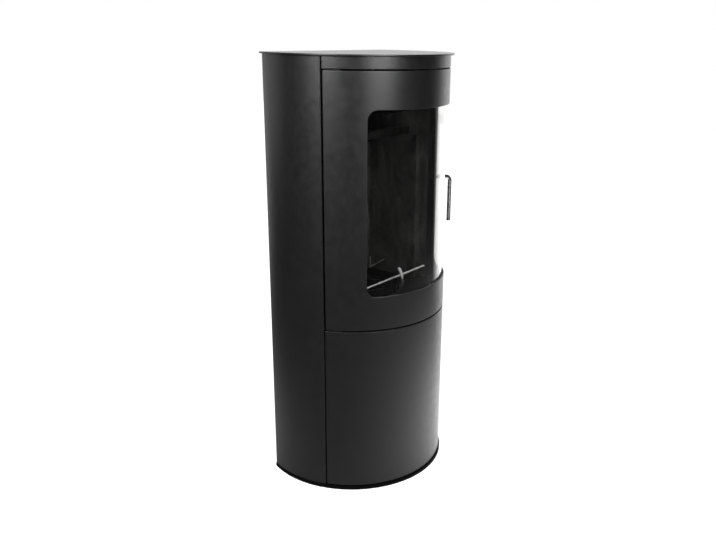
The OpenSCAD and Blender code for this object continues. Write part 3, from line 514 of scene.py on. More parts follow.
# Every finish on the stove; the plinth paint is darker than the satin paint as painted shade, and the wire
# paint is light as a painted highlight. Paints have a low and a high tone, then roughness, specular level,
# grain and dust; boards have a clean and a sooted tone and a share of soot.
looks = {
    "satin": paint("satin_paint", (0.0074, 0.0075, 0.0077), (0.0088, 0.0089, 0.0091), 0.36, 1.0),
    "matt": paint("matt_paint", (0.009, 0.009, 0.009), (0.014, 0.0138, 0.0135), 0.62, 0.4, 0.8, 0.35),
    "polished": steel("polished_steel", (0.72, 0.72, 0.73), 0.16),
    "zinc": zinc("zinc_coat", (0.42, 0.43, 0.45), (0.62, 0.63, 0.65), 0.36),
    "iron": castIron("cast_iron"),
    "lining": lining("sooted_board", (0.29, 0.285, 0.275), (0.0285, 0.028, 0.0275), 0.7),
    "glass": glass("ceramic_glass"),
    "rope": rope("glass_rope", (0.10, 0.098, 0.092)),
    "plastic": plastic("catch_plastic", (0.02, 0.02, 0.02)),
    # The plinth paint is painted shade: the black plate is darker than the body's paint for the shade at
    # the stove's foot.
    "plinth": paint("plinth_painted_shade", (0.0022, 0.0022, 0.0022), (0.0034, 0.0034, 0.0034), 0.7, 0.12),
    "soot": paint("sooted_paint", (0.0022, 0.0022, 0.0022), (0.0050, 0.0048, 0.0046), 0.85, 0.1, 1.0, 0.15),
    "hearth": lining("sooted_hearth", (0.047, 0.046, 0.045), (0.0078, 0.0076, 0.0074), 0.9),
    "sooted": lining("sooted_baffle", (0.10, 0.10, 0.098), (0.015, 0.0148, 0.0145), 0.85),
    "brushed": steel("brushed_steel", (0.74, 0.74, 0.75), 0.40),
    "turned": steel("turned_steel", (0.80, 0.80, 0.81), 0.23, (900, 900, 30), 0.03, 0.85),
    "drawn": steel("drawn_steel", (0.82, 0.82, 0.83), 0.25),
    # The wire paint is a painted highlight: the clips are near white so that they shine as the wire's
    # glints would.
    "wire": paint("wire_painted_highlight", (0.76, 0.76, 0.76), (0.86, 0.86, 0.85), 0.4, 1.0, 0.2),
    "ashy": lining("ashy_shell", (0.28, 0.28, 0.275), (0.085, 0.085, 0.083), 0.7),
    "tape": rope("gasket_fibre", (0.012, 0.012, 0.012)),
}
# The finish of each material slot, and of the few nodes that differ from their slot; among these the base
# plate's dark paint is painted shade and the board clips' light paint is a painted highlight.
slotLooks = {"satin_black": "satin", "matt_black": "matt", "stainless": "polished", "zinc": "zinc",
             "castings": "iron", "lining": "lining", "window": "glass", "rope": "rope",
             "catch_plastic": "plastic"}
nodeLooks = {"base_plate": "plinth", "smoke_deflector": "soot", "hearth_front": "hearth",
             "hearth_rear": "hearth", "hearth_sides": "hearth", "baffle": "sooted", "guard_stem": "soot",
             "board_clips": "wire", "firebox_shell": "ashy"}
for part in frame["record"]["subparts"]:
    obj = nodes[part["node"]]
    look = looks[nodeLooks.get(part["node"], slotLooks[part["material_slot"]])]
    obj.data.materials.clear()
    obj.data.materials.append(look)
print("materials done:", len(looks))

# The round body that all the bent sheets share, in millimetres and degrees: trim is the half angle of
# the band and the lower door.
body = {"radius": 233.0, "skin": 2.0, "edge": 0.7, "trim": 67.6248, "top": 1046.0}
middle = body["radius"] - body["skin"] / 2

# The side panel is one sheet: a front flange along a radius, a small bend, the arc of the body, and a
# rear flange towards the middle. It is carried straight up, and the left one is its mirror image. The
# front edge stands a small gap beside the radius at "front".
panel = {"front": 68.3133, "rear": 111.33, "low": 8.0, "gap": 0.1, "flange": 22.0, "bend": 2.2,
         "rearFlange": 23.0, "rearTurn": 1.75}


def sidePanel(mirror):
    a = math.radians(panel["front"])
    out = np.array([math.sin(a), -math.cos(a)])
    across = np.array([math.cos(a), math.sin(a)])
    start = out * (middle - panel["flange"]) + across * (panel["gap"] + body["skin"] / 2)
    bend = panel["bend"]
    arc = math.radians(panel["rear"] - panel["front"]) * middle - 2 * bend
    path = Path(start, math.atan2(out[1], out[0]),
                [(panel["flange"] - bend, 0), (bend * math.pi / 2, math.pi / 2), (arc, arc / middle),
                 (bend * panel["rearTurn"], panel["rearTurn"]), (panel["rearFlange"] - bend, 0)])
    points, faces = bentSheet(path, body["skin"], panel["low"], body["top"], body["edge"])
    return points * np.array([-1 if mirror else 1, 1, 1]), faces


for mirror, name in ((False, "side_panel_right"), (True, "side_panel_left")):
    makePiece(name + "_sheet", [sidePanel(mirror)], looks["satin"], "carcass", [name])

trimPath = arcPath(middle, -body["trim"], body["trim"])
lowerDoor = {"low": 10.6, "high": 421.0}
makePiece("lower_door_skin", [bentSheet(trimPath, body["skin"], lowerDoor["low"], lowerDoor["high"],
                                        body["edge"])],
          looks["satin"], "lower_door", ["lower_door_sheet"])

# The band under the top plate has a thick inner rim along its upper edge.
band = {"low": 1019.2, "rimLow": 1044.0, "rimIn": 10.0, "rimInset": 0.3, "rimThick": 17.6, "rimEdge": 0.5}
rimEnd = body["trim"] - band["rimInset"]
makePiece("fascia_skin",
          [bentSheet(trimPath, body["skin"], band["low"], body["top"], body["edge"]),
           bentSheet(arcPath(middle - band["rimIn"], -rimEnd, rimEnd), band["rimThick"], band["rimLow"],
                     body["top"], band["rimEdge"])],
          looks["satin"], "carcass", ["fascia_band"])
print("body sheets done")


# The outline of a rounded rectangle: straight sides and quarter rounds, anticlockwise, with its
# outward normals. On a corner with centre c the point at an angle a is c + corner (cos a, sin a).
# counts gives the samples of a level side, an upright side and a corner.
def roundedRectangle(left, right, low, high, corner, counts):
    sides = ((left + corner, low, 1, 0, right - left - 2 * corner, counts[0], 0, -1),
             (right, low + corner, 0, 1, high - low - 2 * corner, counts[1], 1, 0),
             (right - corner, high, -1, 0, right - left - 2 * corner, counts[0], 0, 1),
             (left, high - corner, 0, -1, high - low - 2 * corner, counts[1], -1, 0))
    points, normals = [], []
    for x, z, dx, dz, length, count, nx, nz in sides:
        t = np.linspace(0, length, count)[:, None]
        points.append(np.array([x, z]) + t * np.array([dx, dz]))
        normals.append(np.repeat([[nx, nz]], count, 0).astype(float))
        end = points[-1][-1] - np.array([nx, nz]) * corner
        a = math.atan2(nz, nx) + np.linspace(0, np.pi / 2, counts[2] + 2)[1:-1]
        n = np.stack([np.cos(a), np.sin(a)], -1)
        points.append(end + corner * n)
        normals.append(n)
    return np.concatenate(points), np.concatenate(normals)


# A sheet on the round body with a window: rows run from the window's edge over the outer face to the
# outer edge and back over the inner face, and both edges are rounded. A row lies a given way in from an
# outline, or a share b between them: (x, z) = (1 - b) inner + b outer. At n off the middle of the sheet
# it becomes P = ((r + n) sin(x / r), -(r + n) cos(x / r), z).
def windowSheet(outer, inner, r, t, edge, steps=20):
    (outP, outN), (inP, inN) = outer, inner
    h, q, hold = t / 2, quarter(), holdFrom(edge)
    face = [(0.0, edge * q[k, 1], h - edge * (1 - q[k, 0])) for k in range(len(q))]
    rows = [("in", a, n) for _, a, n in face]
    rows.append(("in", hold, h))
    rows += [(b, hold, h) for b in np.linspace(0, 1, steps + 1)[1:-1]]
    rows.append(("out", hold, h))
    rows += [("out", a, n) for _, a, n in face[::-1]]
    back = [(kind, a, -n) for kind, a, n in rows[::-1]]
    out = []
    for kind, a, n in rows + back:
        share = {"in": 0, "out": 1}.get(kind, kind)
        flat = (1 - share) * (inP + inN * a) + share * (outP - outN * a)
        angle = flat[:, 0] / r
        out.append(np.stack([(r + n) * np.sin(angle), -(r + n) * np.cos(angle), flat[:, 1]], -1))
    return gridSurface(np.array(out), closeRows=True)


# The firebox door's sheet and its window, by angles from the front and by heights.
door = {"half": 67.2067, "low": 425.4, "high": 1016.0, "corner": 1.5}
window = {"left": -43.2, "right": 57.8, "low": 506.0, "high": 933.5, "corner": 23.0}
sideCounts = (110, 26, 12)
perDegree = math.radians(1) * middle
outer = roundedRectangle(-door["half"] * perDegree, door["half"] * perDegree, door["low"], door["high"],
                         door["corner"], sideCounts)
inner = roundedRectangle(window["left"] * perDegree, window["right"] * perDegree, window["low"],
                         window["high"], window["corner"], sideCounts)
makePiece("door_skin", [windowSheet(outer, inner, middle, body["skin"], body["edge"])], looks["satin"],
          "firebox_door", ["door_sheet"])

pane = {"left": -44.7, "right": 59.3, "low": 497.0, "high": 942.5, "middle": 224.95, "thick": 3.9,
        "edge": 0.7}
makePiece("glass_pane", [bentSheet(arcPath(pane["middle"], pane["left"], pane["right"]), pane["thick"],
                                   pane["low"], pane["high"], pane["edge"])],
          looks["glass"], "firebox_door", ["door_glass"])

# The flat gasket between the glass and the sheet, cut a little larger than the window.
gasket = {"radius": 228.95, "thick": 4.0, "lap": 1.0, "edge": 0.5, "corner": 1.5, "steps": 3}
perDegree = math.radians(1) * gasket["radius"]
outer = roundedRectangle(pane["left"] * perDegree, pane["right"] * perDegree, pane["low"], pane["high"],
                         gasket["corner"], sideCounts)
inner = roundedRectangle(window["left"] * perDegree - gasket["lap"],
                         window["right"] * perDegree + gasket["lap"], window["low"] - gasket["lap"],
                         window["high"] + gasket["lap"], window["corner"] + gasket["lap"], sideCounts)
makePiece("gasket_tape",
          [windowSheet(outer, inner, gasket["radius"], gasket["thick"], gasket["edge"], gasket["steps"])],
          looks["tape"], "firebox_door", ["glass_gasket"])

# The rope seal follows a rounded rectangle on the round body. Its section is a soft box, and two
# crossing sets of strands swell it: the size is 1 - relief (1 - the larger of |cos(n u + k s)| and
# |cos(n u - k s)|), with u the angle round the section, s the length along the rope, n half the number of
# strands and k = pi / pitch.
# The soft box is (sign(cos u) |cos u|^soft, sign(sin u) |sin u|^soft) across the rope.
seal = {"left": -54.5, "right": 59.69, "low": 467.0, "high": 959.0, "corner": 11.5, "level": 198.0,
        "inner": 198.3, "outer": 204.2, "wide": 7.0, "pitch": 7.0, "half": 3, "relief": 0.13, "step": 0.85,
        "round": 24, "soft": 0.8, "counts": (200, 200, 24)}


def ropeLoop():
    level = math.radians(1) * seal["level"]
    line, normal = roundedRectangle(seal["left"] * level, seal["right"] * level, seal["low"], seal["high"],
                                    seal["corner"], seal["counts"])
    gap = np.linalg.norm(np.roll(line, -1, axis=0) - line, axis=1)
    place = np.concatenate([[0], np.cumsum(gap)])
    rings = int(round(place[-1] / seal["step"]))
    pitches = round(place[-1] / seal["pitch"])
    s = np.arange(rings) / rings * place[-1]
    line, normal = (np.stack([np.interp(s, place, np.append(v[:, k], v[0, k])) for k in (0, 1)], -1)
                    for v in (line, normal))
    normal /= np.linalg.norm(normal, axis=1)[:, None]
    u = np.arange(seal["round"]) * 2 * np.pi / seal["round"]
    c, d = (np.sign(v) * np.abs(v) ** seal["soft"] for v in (np.cos(u), np.sin(u)))
    k = np.pi * pitches / place[-1]
    a, b = seal["half"] * u[None] + k * s[:, None], seal["half"] * u[None] - k * s[:, None]
    size = 1 - seal["relief"] * (1 - np.maximum(np.abs(np.cos(a)), np.abs(np.cos(b))))
    flat = line[:, None] + normal[:, None] * (seal["wide"] / 2 * size * c)[..., None]
    radius = (seal["inner"] + seal["outer"]) / 2 + (seal["outer"] - seal["inner"]) / 2 * size * d
    angle = flat[..., 0] / seal["level"]
    return gridSurface(np.stack([radius * np.sin(angle), -radius * np.cos(angle), flat[..., 1]], -1),
                       closeRows=True)


makePiece("rope_loop", [ropeLoop()], looks["rope"], "firebox_door", ["door_seal"])

# The top plate has a hole for the flush cover, a step that carries it and a ring under the step.
top = {"radius": 241.0, "cut": 89.5, "low": 1046.0, "high": 1050.0, "edge": 0.5, "corner": 3.0,
       "coverY": -40.0, "hole": 73.8, "cover": 73.0, "ring": 83.0, "ringLow": 1043.5, "bore": 66.5,
       "ringReach": 4.0, "backIn": 3.0, "soft": 0.5, "steps": 13}


# The plate's outline: the body's arc from one rear corner round the front to the other, the corners'
# small rounds and the straight rear edge, each with its outward normal. The arc's point at an angle a is
# r (cos a, sin a), and a corner's is its centre + corner (cos a, sin a).
def plateOutline(r, cut, corner, arcCount=220, cornerCount=8, backCount=60):
    inset = r - corner
    x = math.sqrt(inset ** 2 - (cut - corner) ** 2)
    a = math.atan2(cut - corner, x)
    arc = np.linspace(math.pi - a, 2 * math.pi + a, arcCount)
    n = [np.stack([np.cos(arc), np.sin(arc)], -1)]
    p = [n[0] * r]
    turn = np.linspace(a, math.pi / 2, cornerCount + 2)[1:-1]
    n.append(np.stack([np.cos(turn), np.sin(turn)], -1))
    p.append(np.array([x, cut - corner]) + corner * n[-1])
    line = np.linspace(x, -x, backCount)
    n.append(np.stack([line * 0, line * 0 + 1], -1))
    p.append(np.stack([line, line * 0 + cut], -1))
    n.append(n[1][::-1] * np.array([-1, 1]))
    p.append(p[1][::-1] * np.array([-1, 1]))
    return np.concatenate(p), np.concatenate(n)


# Rows run from the hole's edge over the top to the outer edge, back underneath, and down and up through
# the hole's step. A row is a circle about the cover's axis ("hole"), the outline moved in ("rim"), or a
# share b between the two: (1 - b) circle + b outline.
def topPlate():
    outP, outN = plateOutline(top["radius"], top["cut"], top["corner"])
    centre = np.array([0, top["coverY"]])
    ray = outP - centre
    ray = ray / np.linalg.norm(ray, axis=1)[:, None]
    e, low, high = top["edge"], top["low"], top["high"]
    hold, rounds = holdFrom(e), [(e * b, e * (1 - a)) for a, b in quarter(3)]
    rows = [("hole", top["hole"] + across, high - drop) for across, drop in rounds]
    rows.append(("hole", top["hole"] + hold, high))
    rows += [(b, hold, high) for b in np.linspace(0, 1, top["steps"])[1:-1]]
    rows.append(("rim", hold, high))
    rows += [("rim", across, high - drop) for across, drop in rounds[::-1]]
    rows += [("rim", across, low + drop) for across, drop in rounds]
    rows.append(("rim", hold, low))
    rows.append((0.5, hold + top["backIn"], low))
    step = roundedProfile([(top["ring"] + top["ringReach"], low), (top["ring"], low),
                           (top["ring"], top["ringLow"]), (top["bore"], top["ringLow"]), (top["bore"], low),
                           (top["hole"], low), (top["hole"], high - 2 * e)], top["soft"])
    rows += [("hole", a, z) for a, z in step]
    out = []
    for kind, a, z in rows:
        inside = centre + ray * (a if kind == "hole" else top["hole"] + hold)
        outside = outP - outN * (0 if kind == "hole" else a)
        share = {"hole": 0, "rim": 1}.get(kind, kind)
        flat = (1 - share) * inside + share * outside
        out.append(np.concatenate([flat, np.full((len(flat), 1), z)], 1))
    return gridSurface(np.array(out), closeRows=True)


makePiece("top_sheet", [topPlate()], looks["satin"], "carcass", ["top_plate"])

# The cover is a disc, with one more ring of points half way out on each face.
profile = roundedProfile([(0, top["low"]), (top["cover"], top["low"]), (top["cover"], top["high"]),
                          (0, top["high"])], top["edge"])
profile = np.insert(profile, [1], [[top["cover"] * 0.5, top["low"]]], 0)
profile = np.insert(profile, [-1], [[top["cover"] * 0.5, top["high"]]], 0)
makePiece("cover_disc", [revolved(profile, (0, top["coverY"], 0), (0, 0, 1), 128)], looks["satin"],
          "flue_cover", ["flue_cover"])
print("door skin, glass and top done")

# The handle's rod goes out along a radius of the body, turns down in a quarter bend and ends in a
# chamfer. Places are (distance from the axis, height, turn, rod's radius), and in the bend they are
# (turnAt + bend sin t, height - bend + bend cos t).
handle = {"deg": 63.2, "height": 731.0, "start": 200.5, "turnAt": 266.0, "bend": 13.0, "end": 610.0,
          "radius": 6.0, "chamfer": 1.0, "soft": 0.6, "along": (236.0, 250.0, 262.0)}


def handleRod():
    a = math.radians(handle["deg"])
    out, across = np.array([math.sin(a), -math.cos(a), 0]), np.array([math.cos(a), math.sin(a), 0])
    up = np.array([0, 0, 1.0])
    bend, rad, c, soft = handle["bend"], handle["radius"], handle["chamfer"], handle["soft"]
    start, height, end, down = handle["start"], handle["height"], handle["end"], math.pi / 2
    flat = [(start, height, 0.0, 0.0), (start, height, 0.0, rad - soft), (start + soft, height, 0.0, rad),
            (start + 2, height, 0.0, rad)]
    flat += [(r, height, 0.0, rad) for r in handle["along"]]
    flat += [(handle["turnAt"] + bend * math.sin(t), height - bend + bend * math.cos(t), t, rad)
             for t in np.linspace(0, down, 19)]
    x, z = handle["turnAt"] + bend, height - bend
    flat += [(x, h, down, rad) for h in np.linspace(z - 4, end + 3, 8)]
    flat += [(x, end + c * 1.4, down, rad), (x, end + c, down, rad)]
    flat += [(x, end + c * (1 - math.sin(t)), down, rad - c * (1 - math.cos(t)))
             for t in np.linspace(0, down, 5)[1:]]
    flat += [(x, end, down, (rad - c) * 0.85), (x, end, down, 0.0)]
    flat = np.array(flat)
    points = flat[:, :1] * out + flat[:, 1:2] * up
    tangent = np.cos(flat[:, 2:3]) * out - np.sin(flat[:, 2:3]) * up
    side = np.repeat(across[None], len(flat), 0)
    return sweptBy(points, tangent, side, flat[:, 3], 40)


makePiece("handle_rod", [handleRod()], looks["turned"], "handle", ["door_handle"])

# The log guard is a level bar and a flat bow in front of it. The bow's middle line is the front part of
# a circle of radius bowR about (bowY, bowZ) in Y and Z, bowDeg up and down from its level.
guard = {"y": -136.5, "z": 513.5, "half": 120.0, "radius": 3.0, "bowY": -107.6, "bowZ": 506.0, "bowR": 47.0,
         "bowDeg": 42.5, "bowWide": 9.0, "bowThick": 3.0, "bowEdge": 0.6}


# A straight rod with rounded ends: at a distance soft (1 - sin a) from an end its radius is
# radius - soft (1 - cos a).
def straightRod(start, end, radius, soft=0.8, count=28):
    start, end = np.array(start, float), np.array(end, float)
    length = np.linalg.norm(end - start)
    t = np.linspace(0, math.pi / 2, 5)[::-1]
    low = [(0.0, 0.0)] + [(soft * (1 - math.sin(a)), radius - soft * (1 - math.cos(a))) for a in t]
    low.append((soft * 1.6, radius))
    rows = np.array(low + [(length * 0.5, radius)] + [(length - a, r) for a, r in low[::-1]])
    way = (end - start) / length
    side = np.cross(way, [0, 0, 1.0] if abs(way[2]) < 0.9 else [1.0, 0, 0])
    side /= np.linalg.norm(side)
    return sweptBy(start + rows[:, :1] * way, np.repeat(way[None], len(rows), 0),
                   np.repeat(side[None], len(rows), 0), rows[:, 1], count)


bar = straightRod((-guard["half"], guard["y"], guard["z"]), (guard["half"], guard["y"], guard["z"]),
                  guard["radius"])
makePiece("guard_bar", [bar], looks["drawn"], "log_guard", ["log_guard"])

a = math.radians(guard["bowDeg"])
bow = Path((guard["bowY"] - guard["bowR"] * math.cos(a), guard["bowZ"] + guard["bowR"] * math.sin(a)),
           -math.pi / 2 - a, [(guard["bowR"] * 2 * a, 2 * a)])
points, faces = bentSheet(bow, guard["bowThick"], -guard["bowWide"] / 2, guard["bowWide"] / 2,
                          guard["bowEdge"])
points = np.stack([points[:, 2], points[:, 0], points[:, 1]], -1)
makePiece("guard_bow", [(points, faces)], looks["brushed"], "log_guard", ["log_guard"])
print("handle and log guard done")

# A tube with a flange: a closed profile of (radius, height), which starts and ends inside the bore, is
# turned about its axis as in revolved.
def tube(profile, origin, axis, soft, count=96):
    profile = roundedProfile(profile, soft)
    points, _ = revolved(profile, origin, axis, count)
    return points, gridFaces(len(profile), count, True)


collar = {"bore": 65.5, "radius": 69.5, "flange": 77.5, "thick": 3.0, "rear": 70.0, "length": 53.5,
          "height": 910.0, "seam": (24.0, 26.0), "soft": 1.0}
outline = [(collar["bore"], collar["seam"][0]), (collar["bore"], 0), (collar["flange"], 0),
           (collar["flange"], collar["thick"]), (collar["radius"], collar["thick"]),
           (collar["radius"], collar["length"]), (collar["bore"], collar["length"]),
           (collar["bore"], collar["seam"][1])]
makePiece("flue_tube", [tube(outline, (0, collar["rear"], collar["height"]), (0, 1, 0), collar["soft"])],
          looks["satin"], "carcass", ["flue_collar"])

# The air spigot has a rolled bead near its end, which holds a hose. At a share a of its half width from
# its middle the bead swells the tube by bead cos(a pi / 2)^2, outside and inside.
spigot = {"bore": 38.0, "radius": 40.0, "flange": 45.0, "thick": 2.0, "rear": 70.0, "length": 40.5,
          "height": 396.0, "seam": (16.0, 18.0), "soft": 0.6, "bead": 1.2, "beadAt": 33.0, "beadHalf": 3.0}
swell = [(spigot["bead"] * math.cos(a * math.pi / 2) ** 2, spigot["beadAt"] + a * spigot["beadHalf"])
         for a in np.linspace(-1, 1, 9)]
bead = [(spigot["radius"] + rise, h) for rise, h in swell]
dent = [(spigot["bore"] + rise, h) for rise, h in swell[::-1]]
outline = [(spigot["bore"], spigot["seam"][0]), (spigot["bore"], 0), (spigot["flange"], 0),
           (spigot["flange"], spigot["thick"]), (spigot["radius"], spigot["thick"])]
outline += bead + [(spigot["radius"], spigot["length"]), (spigot["bore"], spigot["length"])] + dent
outline.append((spigot["bore"], spigot["seam"][1]))
makePiece("spigot_tube", [tube(outline, (0, spigot["rear"], spigot["height"]), (0, 1, 0), spigot["soft"])],
          looks["zinc"], "carcass", ["air_spigot"])

# The screws of the back panel have domed heads with hexagonal recesses. The dome at an angle a is
# (rim + (head - rim) cos a, seat + side + (top - seat - side) sin a), and the recess's radius at an angle
# a round the screw is multiplied by cos 30 / cos(a mod 60 - 30) degrees.
screw = {"shank": 2.5, "head": 4.5, "seat": 1.5, "side": 0.5, "top": 3.5, "rim": 2.0, "recess": 1.5,
         "depth": 1.4, "bevel": 0.15, "y": 84.0, "x": 202.0938,
         "heights": (40.0, 234.0, 428.0, 622.0, 816.0, 1010.0)}


def backScrew(x, z, count=36):
    low = screw["seat"] + screw["side"]
    dome = [(screw["rim"] + (screw["head"] - screw["rim"]) * math.cos(a),
             low + (screw["top"] - low) * math.sin(a)) for a in np.linspace(0, math.pi / 2, 8)]
    profile = [(0, 0), (screw["shank"], 0), (screw["shank"], screw["seat"]), (screw["head"], screw["seat"])]
    profile += dome
    profile += [(screw["recess"] + screw["bevel"], screw["top"]),
                (screw["recess"], screw["top"] - screw["bevel"]),
                (screw["recess"], screw["top"] - screw["depth"]), (0, screw["top"] - screw["depth"])]
    points, faces = revolved(profile, (0, 0, 0), (0, 1, 0), count)
    rows = points.reshape(len(profile), count, 3)
    turn, flat = np.arange(count) * 2 * np.pi / count, np.pi / 3
    shape = math.cos(flat / 2) / np.cos(np.mod(turn, flat) - flat / 2)
    rows[-4:-1] *= np.stack([shape, np.ones(count), shape], -1)[None]
    return points + np.array([x, screw["y"], z]), faces


makePiece("back_screw_heads",
          [backScrew(side * screw["x"], z) for side in (-1, 1) for z in screw["heights"]],
          looks["zinc"], "carcass", ["back_screws"])

# The two control rods end in turned knobs with a grip groove: a profile of (radius, length from the
# knob's front), turned about the rod's axis as in revolved. grip gives the places where the groove
# starts, reaches its depth, rises again and ends.
knob = {"radius": 7.5, "length": 12.0, "rod": 3.5, "height": 439.2, "groove": 0.7,
        "grip": (4.0, 5.0, 8.5, 9.5), "soft": 0.9}
riddleRod = {"x": 0.0, "front": -211.0, "rear": -84.0}
airRod = {"x": 84.0, "front": -195.708, "rear": 40.0}


def controlRod(rod):
    r, deep, length = knob["radius"], knob["radius"] - knob["groove"], rod["rear"] - rod["front"]
    start, low, rise, end = knob["grip"]
    profile = roundedProfile([(0, 0), (r, 0), (r, start), (deep, low), (deep, rise), (r, end),
                              (r, knob["length"]), (knob["rod"], knob["length"]), (knob["rod"], length),
                              (0, length)], knob["soft"])
    return revolved(profile, (rod["x"], rod["front"], knob["height"]), (0, 1, 0), 48)


makePiece("riddle_pull_rod", [controlRod(riddleRod)], looks["polished"], "riddle", ["riddle_rod"])
makePiece("air_pull_rod", [controlRod(airRod)], looks["polished"], "air_control", ["air_rod"])

# A levelling foot: a round pad and a stud with thread rings, turned about its axis as in revolved. The
# stud's radius changes from "stud" to "root" and back within each pitch.
foot = {"pad": 13.0, "thick": 3.0, "stud": 5.0, "root": 4.5, "pitch": 1.5, "plain": 1.5, "long": 42.0,
        "soft": 0.6, "x": 150.0, "front": -125.0, "rear": 52.0}


def levellingFoot(x, y):
    z = np.arange(foot["thick"] + foot["plain"], foot["long"] - foot["plain"], foot["pitch"])
    thread = np.stack([np.tile([foot["stud"], foot["root"]], len(z)), np.repeat(z, 2)], -1)
    thread[1::2, 1] += foot["pitch"] / 2
    base = roundedProfile([(0, 0), (foot["pad"], 0), (foot["pad"], foot["thick"]),
                           (foot["stud"], foot["thick"]), (foot["stud"], foot["thick"] + 1)], foot["soft"])
    end = np.array([(foot["root"], foot["long"]), (0.0, foot["long"])])
    return revolved(np.concatenate([base, thread, end]), (x, y, 0), (0, 0, 1), 40)


for side, sign in (("left", -1), ("right", 1)):
    for row in ("front", "rear"):
        name = "foot_" + row + "_" + side
        makePiece(name + "_stud", [levellingFoot(sign * foot["x"], foot[row])], looks["zinc"], name, [name])
print("turned parts done")

bpy.context.scene.view_settings.view_transform = "Standard"

# The room round the stove. Strengths are brightnesses, where 1 is white. A direction's compass angle is
# counted from +X towards +Y.
# ambient: what matt surfaces see of the world; front and back: what reflections see of the dim room and,
# added to it, of the white wall behind, which lies at backAngle and grows between two cosines (backEdge);
# paneCrossings: light that has crossed fewer surfaces of glass is a reflection on the pane itself.
# sweep and pools: what reflections see of the floor, each pool with its angle, strength and reach.
# floor: its tone; floorLift and farLift: its own shine to the camera and through the glass.
stage = {"ambient": 0.6, "front": 0.013, "back": 1.45, "backAngle": 39.5, "backEdge": (0.42, 0.72),
         "paneCrossings": 2.5, "sweep": 2.2,
         "pools": ((0, 2.19, 1.0), (-80, 0.29, 1.0), (80, 0.88, 0.6), (0, 0.19, 1.7)),
         "floor": 0.92, "floorLift": 0.65, "farLift": 0.4, "floorHalf": 8, "aim": 0.55}

# Three rectangular lights look at the stove's axis from a compass angle, a distance and a height in
# metres. strength is the brightness of a light's face, where 1 is white.
lamps = {
    "left_box": {"angle": 188, "far": 2.2, "height": 1.6, "size": (1.0, 0.8), "strength": 10.6},
    "right_box": {"angle": -111, "far": 2.2, "height": 1.45, "size": (1.0, 0.8), "strength": 8.4},
    "rear_left": {"angle": 120, "far": 2.2, "height": 1.1, "size": (1.0, 1.2), "strength": 0.56},
}


def makeLamp(name, facts):
    a = math.radians(facts["angle"])
    place = Vector((math.cos(a) * facts["far"], math.sin(a) * facts["far"], facts["height"]))
    data = bpy.data.lights.new(name, "AREA")
    data.shape, data.size, data.size_y = "RECTANGLE", facts["size"][0], facts["size"][1]
    data.energy = facts["strength"] * math.pi * facts["size"][0] * facts["size"][1]
    obj = bpy.data.objects.new(name, data)
    look = (Vector((0, 0, stage["aim"])) - place).to_track_quat("-Z", "Y")
    obj.matrix_world = Matrix.Translation(place) @ look.to_matrix().to_4x4()
    obj.visible_camera = False
    obj.visible_transmission = False
    bpy.context.scene.collection.objects.link(obj)


for name, facts in lamps.items():
    makeLamp(name, facts)


def vectorMaths(tree, kind, a, b=None):
    node = tree.nodes.new("ShaderNodeVectorMath")
    node.operation = kind
    tree.links.new(a, node.inputs[0])
    if b is not None:
        node.inputs[1].default_value = b
    return node.outputs["Value" if kind in ("LENGTH", "DOT_PRODUCT") else "Vector"]


def compass(deg):
    return (math.cos(math.radians(deg)), math.sin(math.radians(deg)), 0.0)


# How much of the white wall lies in a direction: it grows smoothly from 0 to 1 while the cosine of the
# direction's angle from the wall's middle rises from the first edge value to the second.
def backShare(tree, way):
    low, high = stage["backEdge"]
    node = tree.nodes.new("ShaderNodeMapRange")
    node.interpolation_type = "SMOOTHSTEP"
    node.inputs["From Min"].default_value = low
    node.inputs["From Max"].default_value = high
    tree.links.new(vectorMaths(tree, "DOT_PRODUCT", way, compass(stage["backAngle"])), node.inputs["Value"])
    return node.outputs[0]


# The sky is white to the camera and through the glass. Reflections see a dim room in front and the
# bright wall behind, also those on the inner face of the pane, which cross its surfaces only twice.
def makeWorld():
    world = bpy.data.worlds.new("world")
    bpy.context.scene.world = world
    world.use_nodes = True
    tree = world.node_tree
    back = tree.nodes["Background"]
    back.inputs["Color"].default_value = (1, 1, 1, 1)
    way = tree.nodes.new("ShaderNodeTexCoord").outputs["Generated"]
    path = tree.nodes.new("ShaderNodeLightPath")
    fewCrossings = maths(tree, "LESS_THAN", path.outputs["Transmission Depth"], stage["paneCrossings"])
    paneFace = maths(tree, "MULTIPLY", maths(tree, "MINIMUM", path.outputs["Glossy Depth"], 1.0),
                     fewCrossings)
    plain = maths(tree, "MAXIMUM", path.outputs["Is Camera Ray"],
                  maths(tree, "SUBTRACT", path.outputs["Is Transmission Ray"], paneFace))
    seen = maths(tree, "ADD", maths(tree, "MULTIPLY", backShare(tree, way), stage["back"]), stage["front"])
    glossy = maths(tree, "MULTIPLY", path.outputs["Is Glossy Ray"], seen)
    rest = maths(tree, "SUBTRACT", 1.0, path.outputs["Is Glossy Ray"])
    dim = maths(tree, "ADD", glossy, maths(tree, "MULTIPLY", rest, stage["ambient"]))
    tree.links.new(maths(tree, "MAXIMUM", plain, dim), back.inputs["Strength"])


makeWorld()


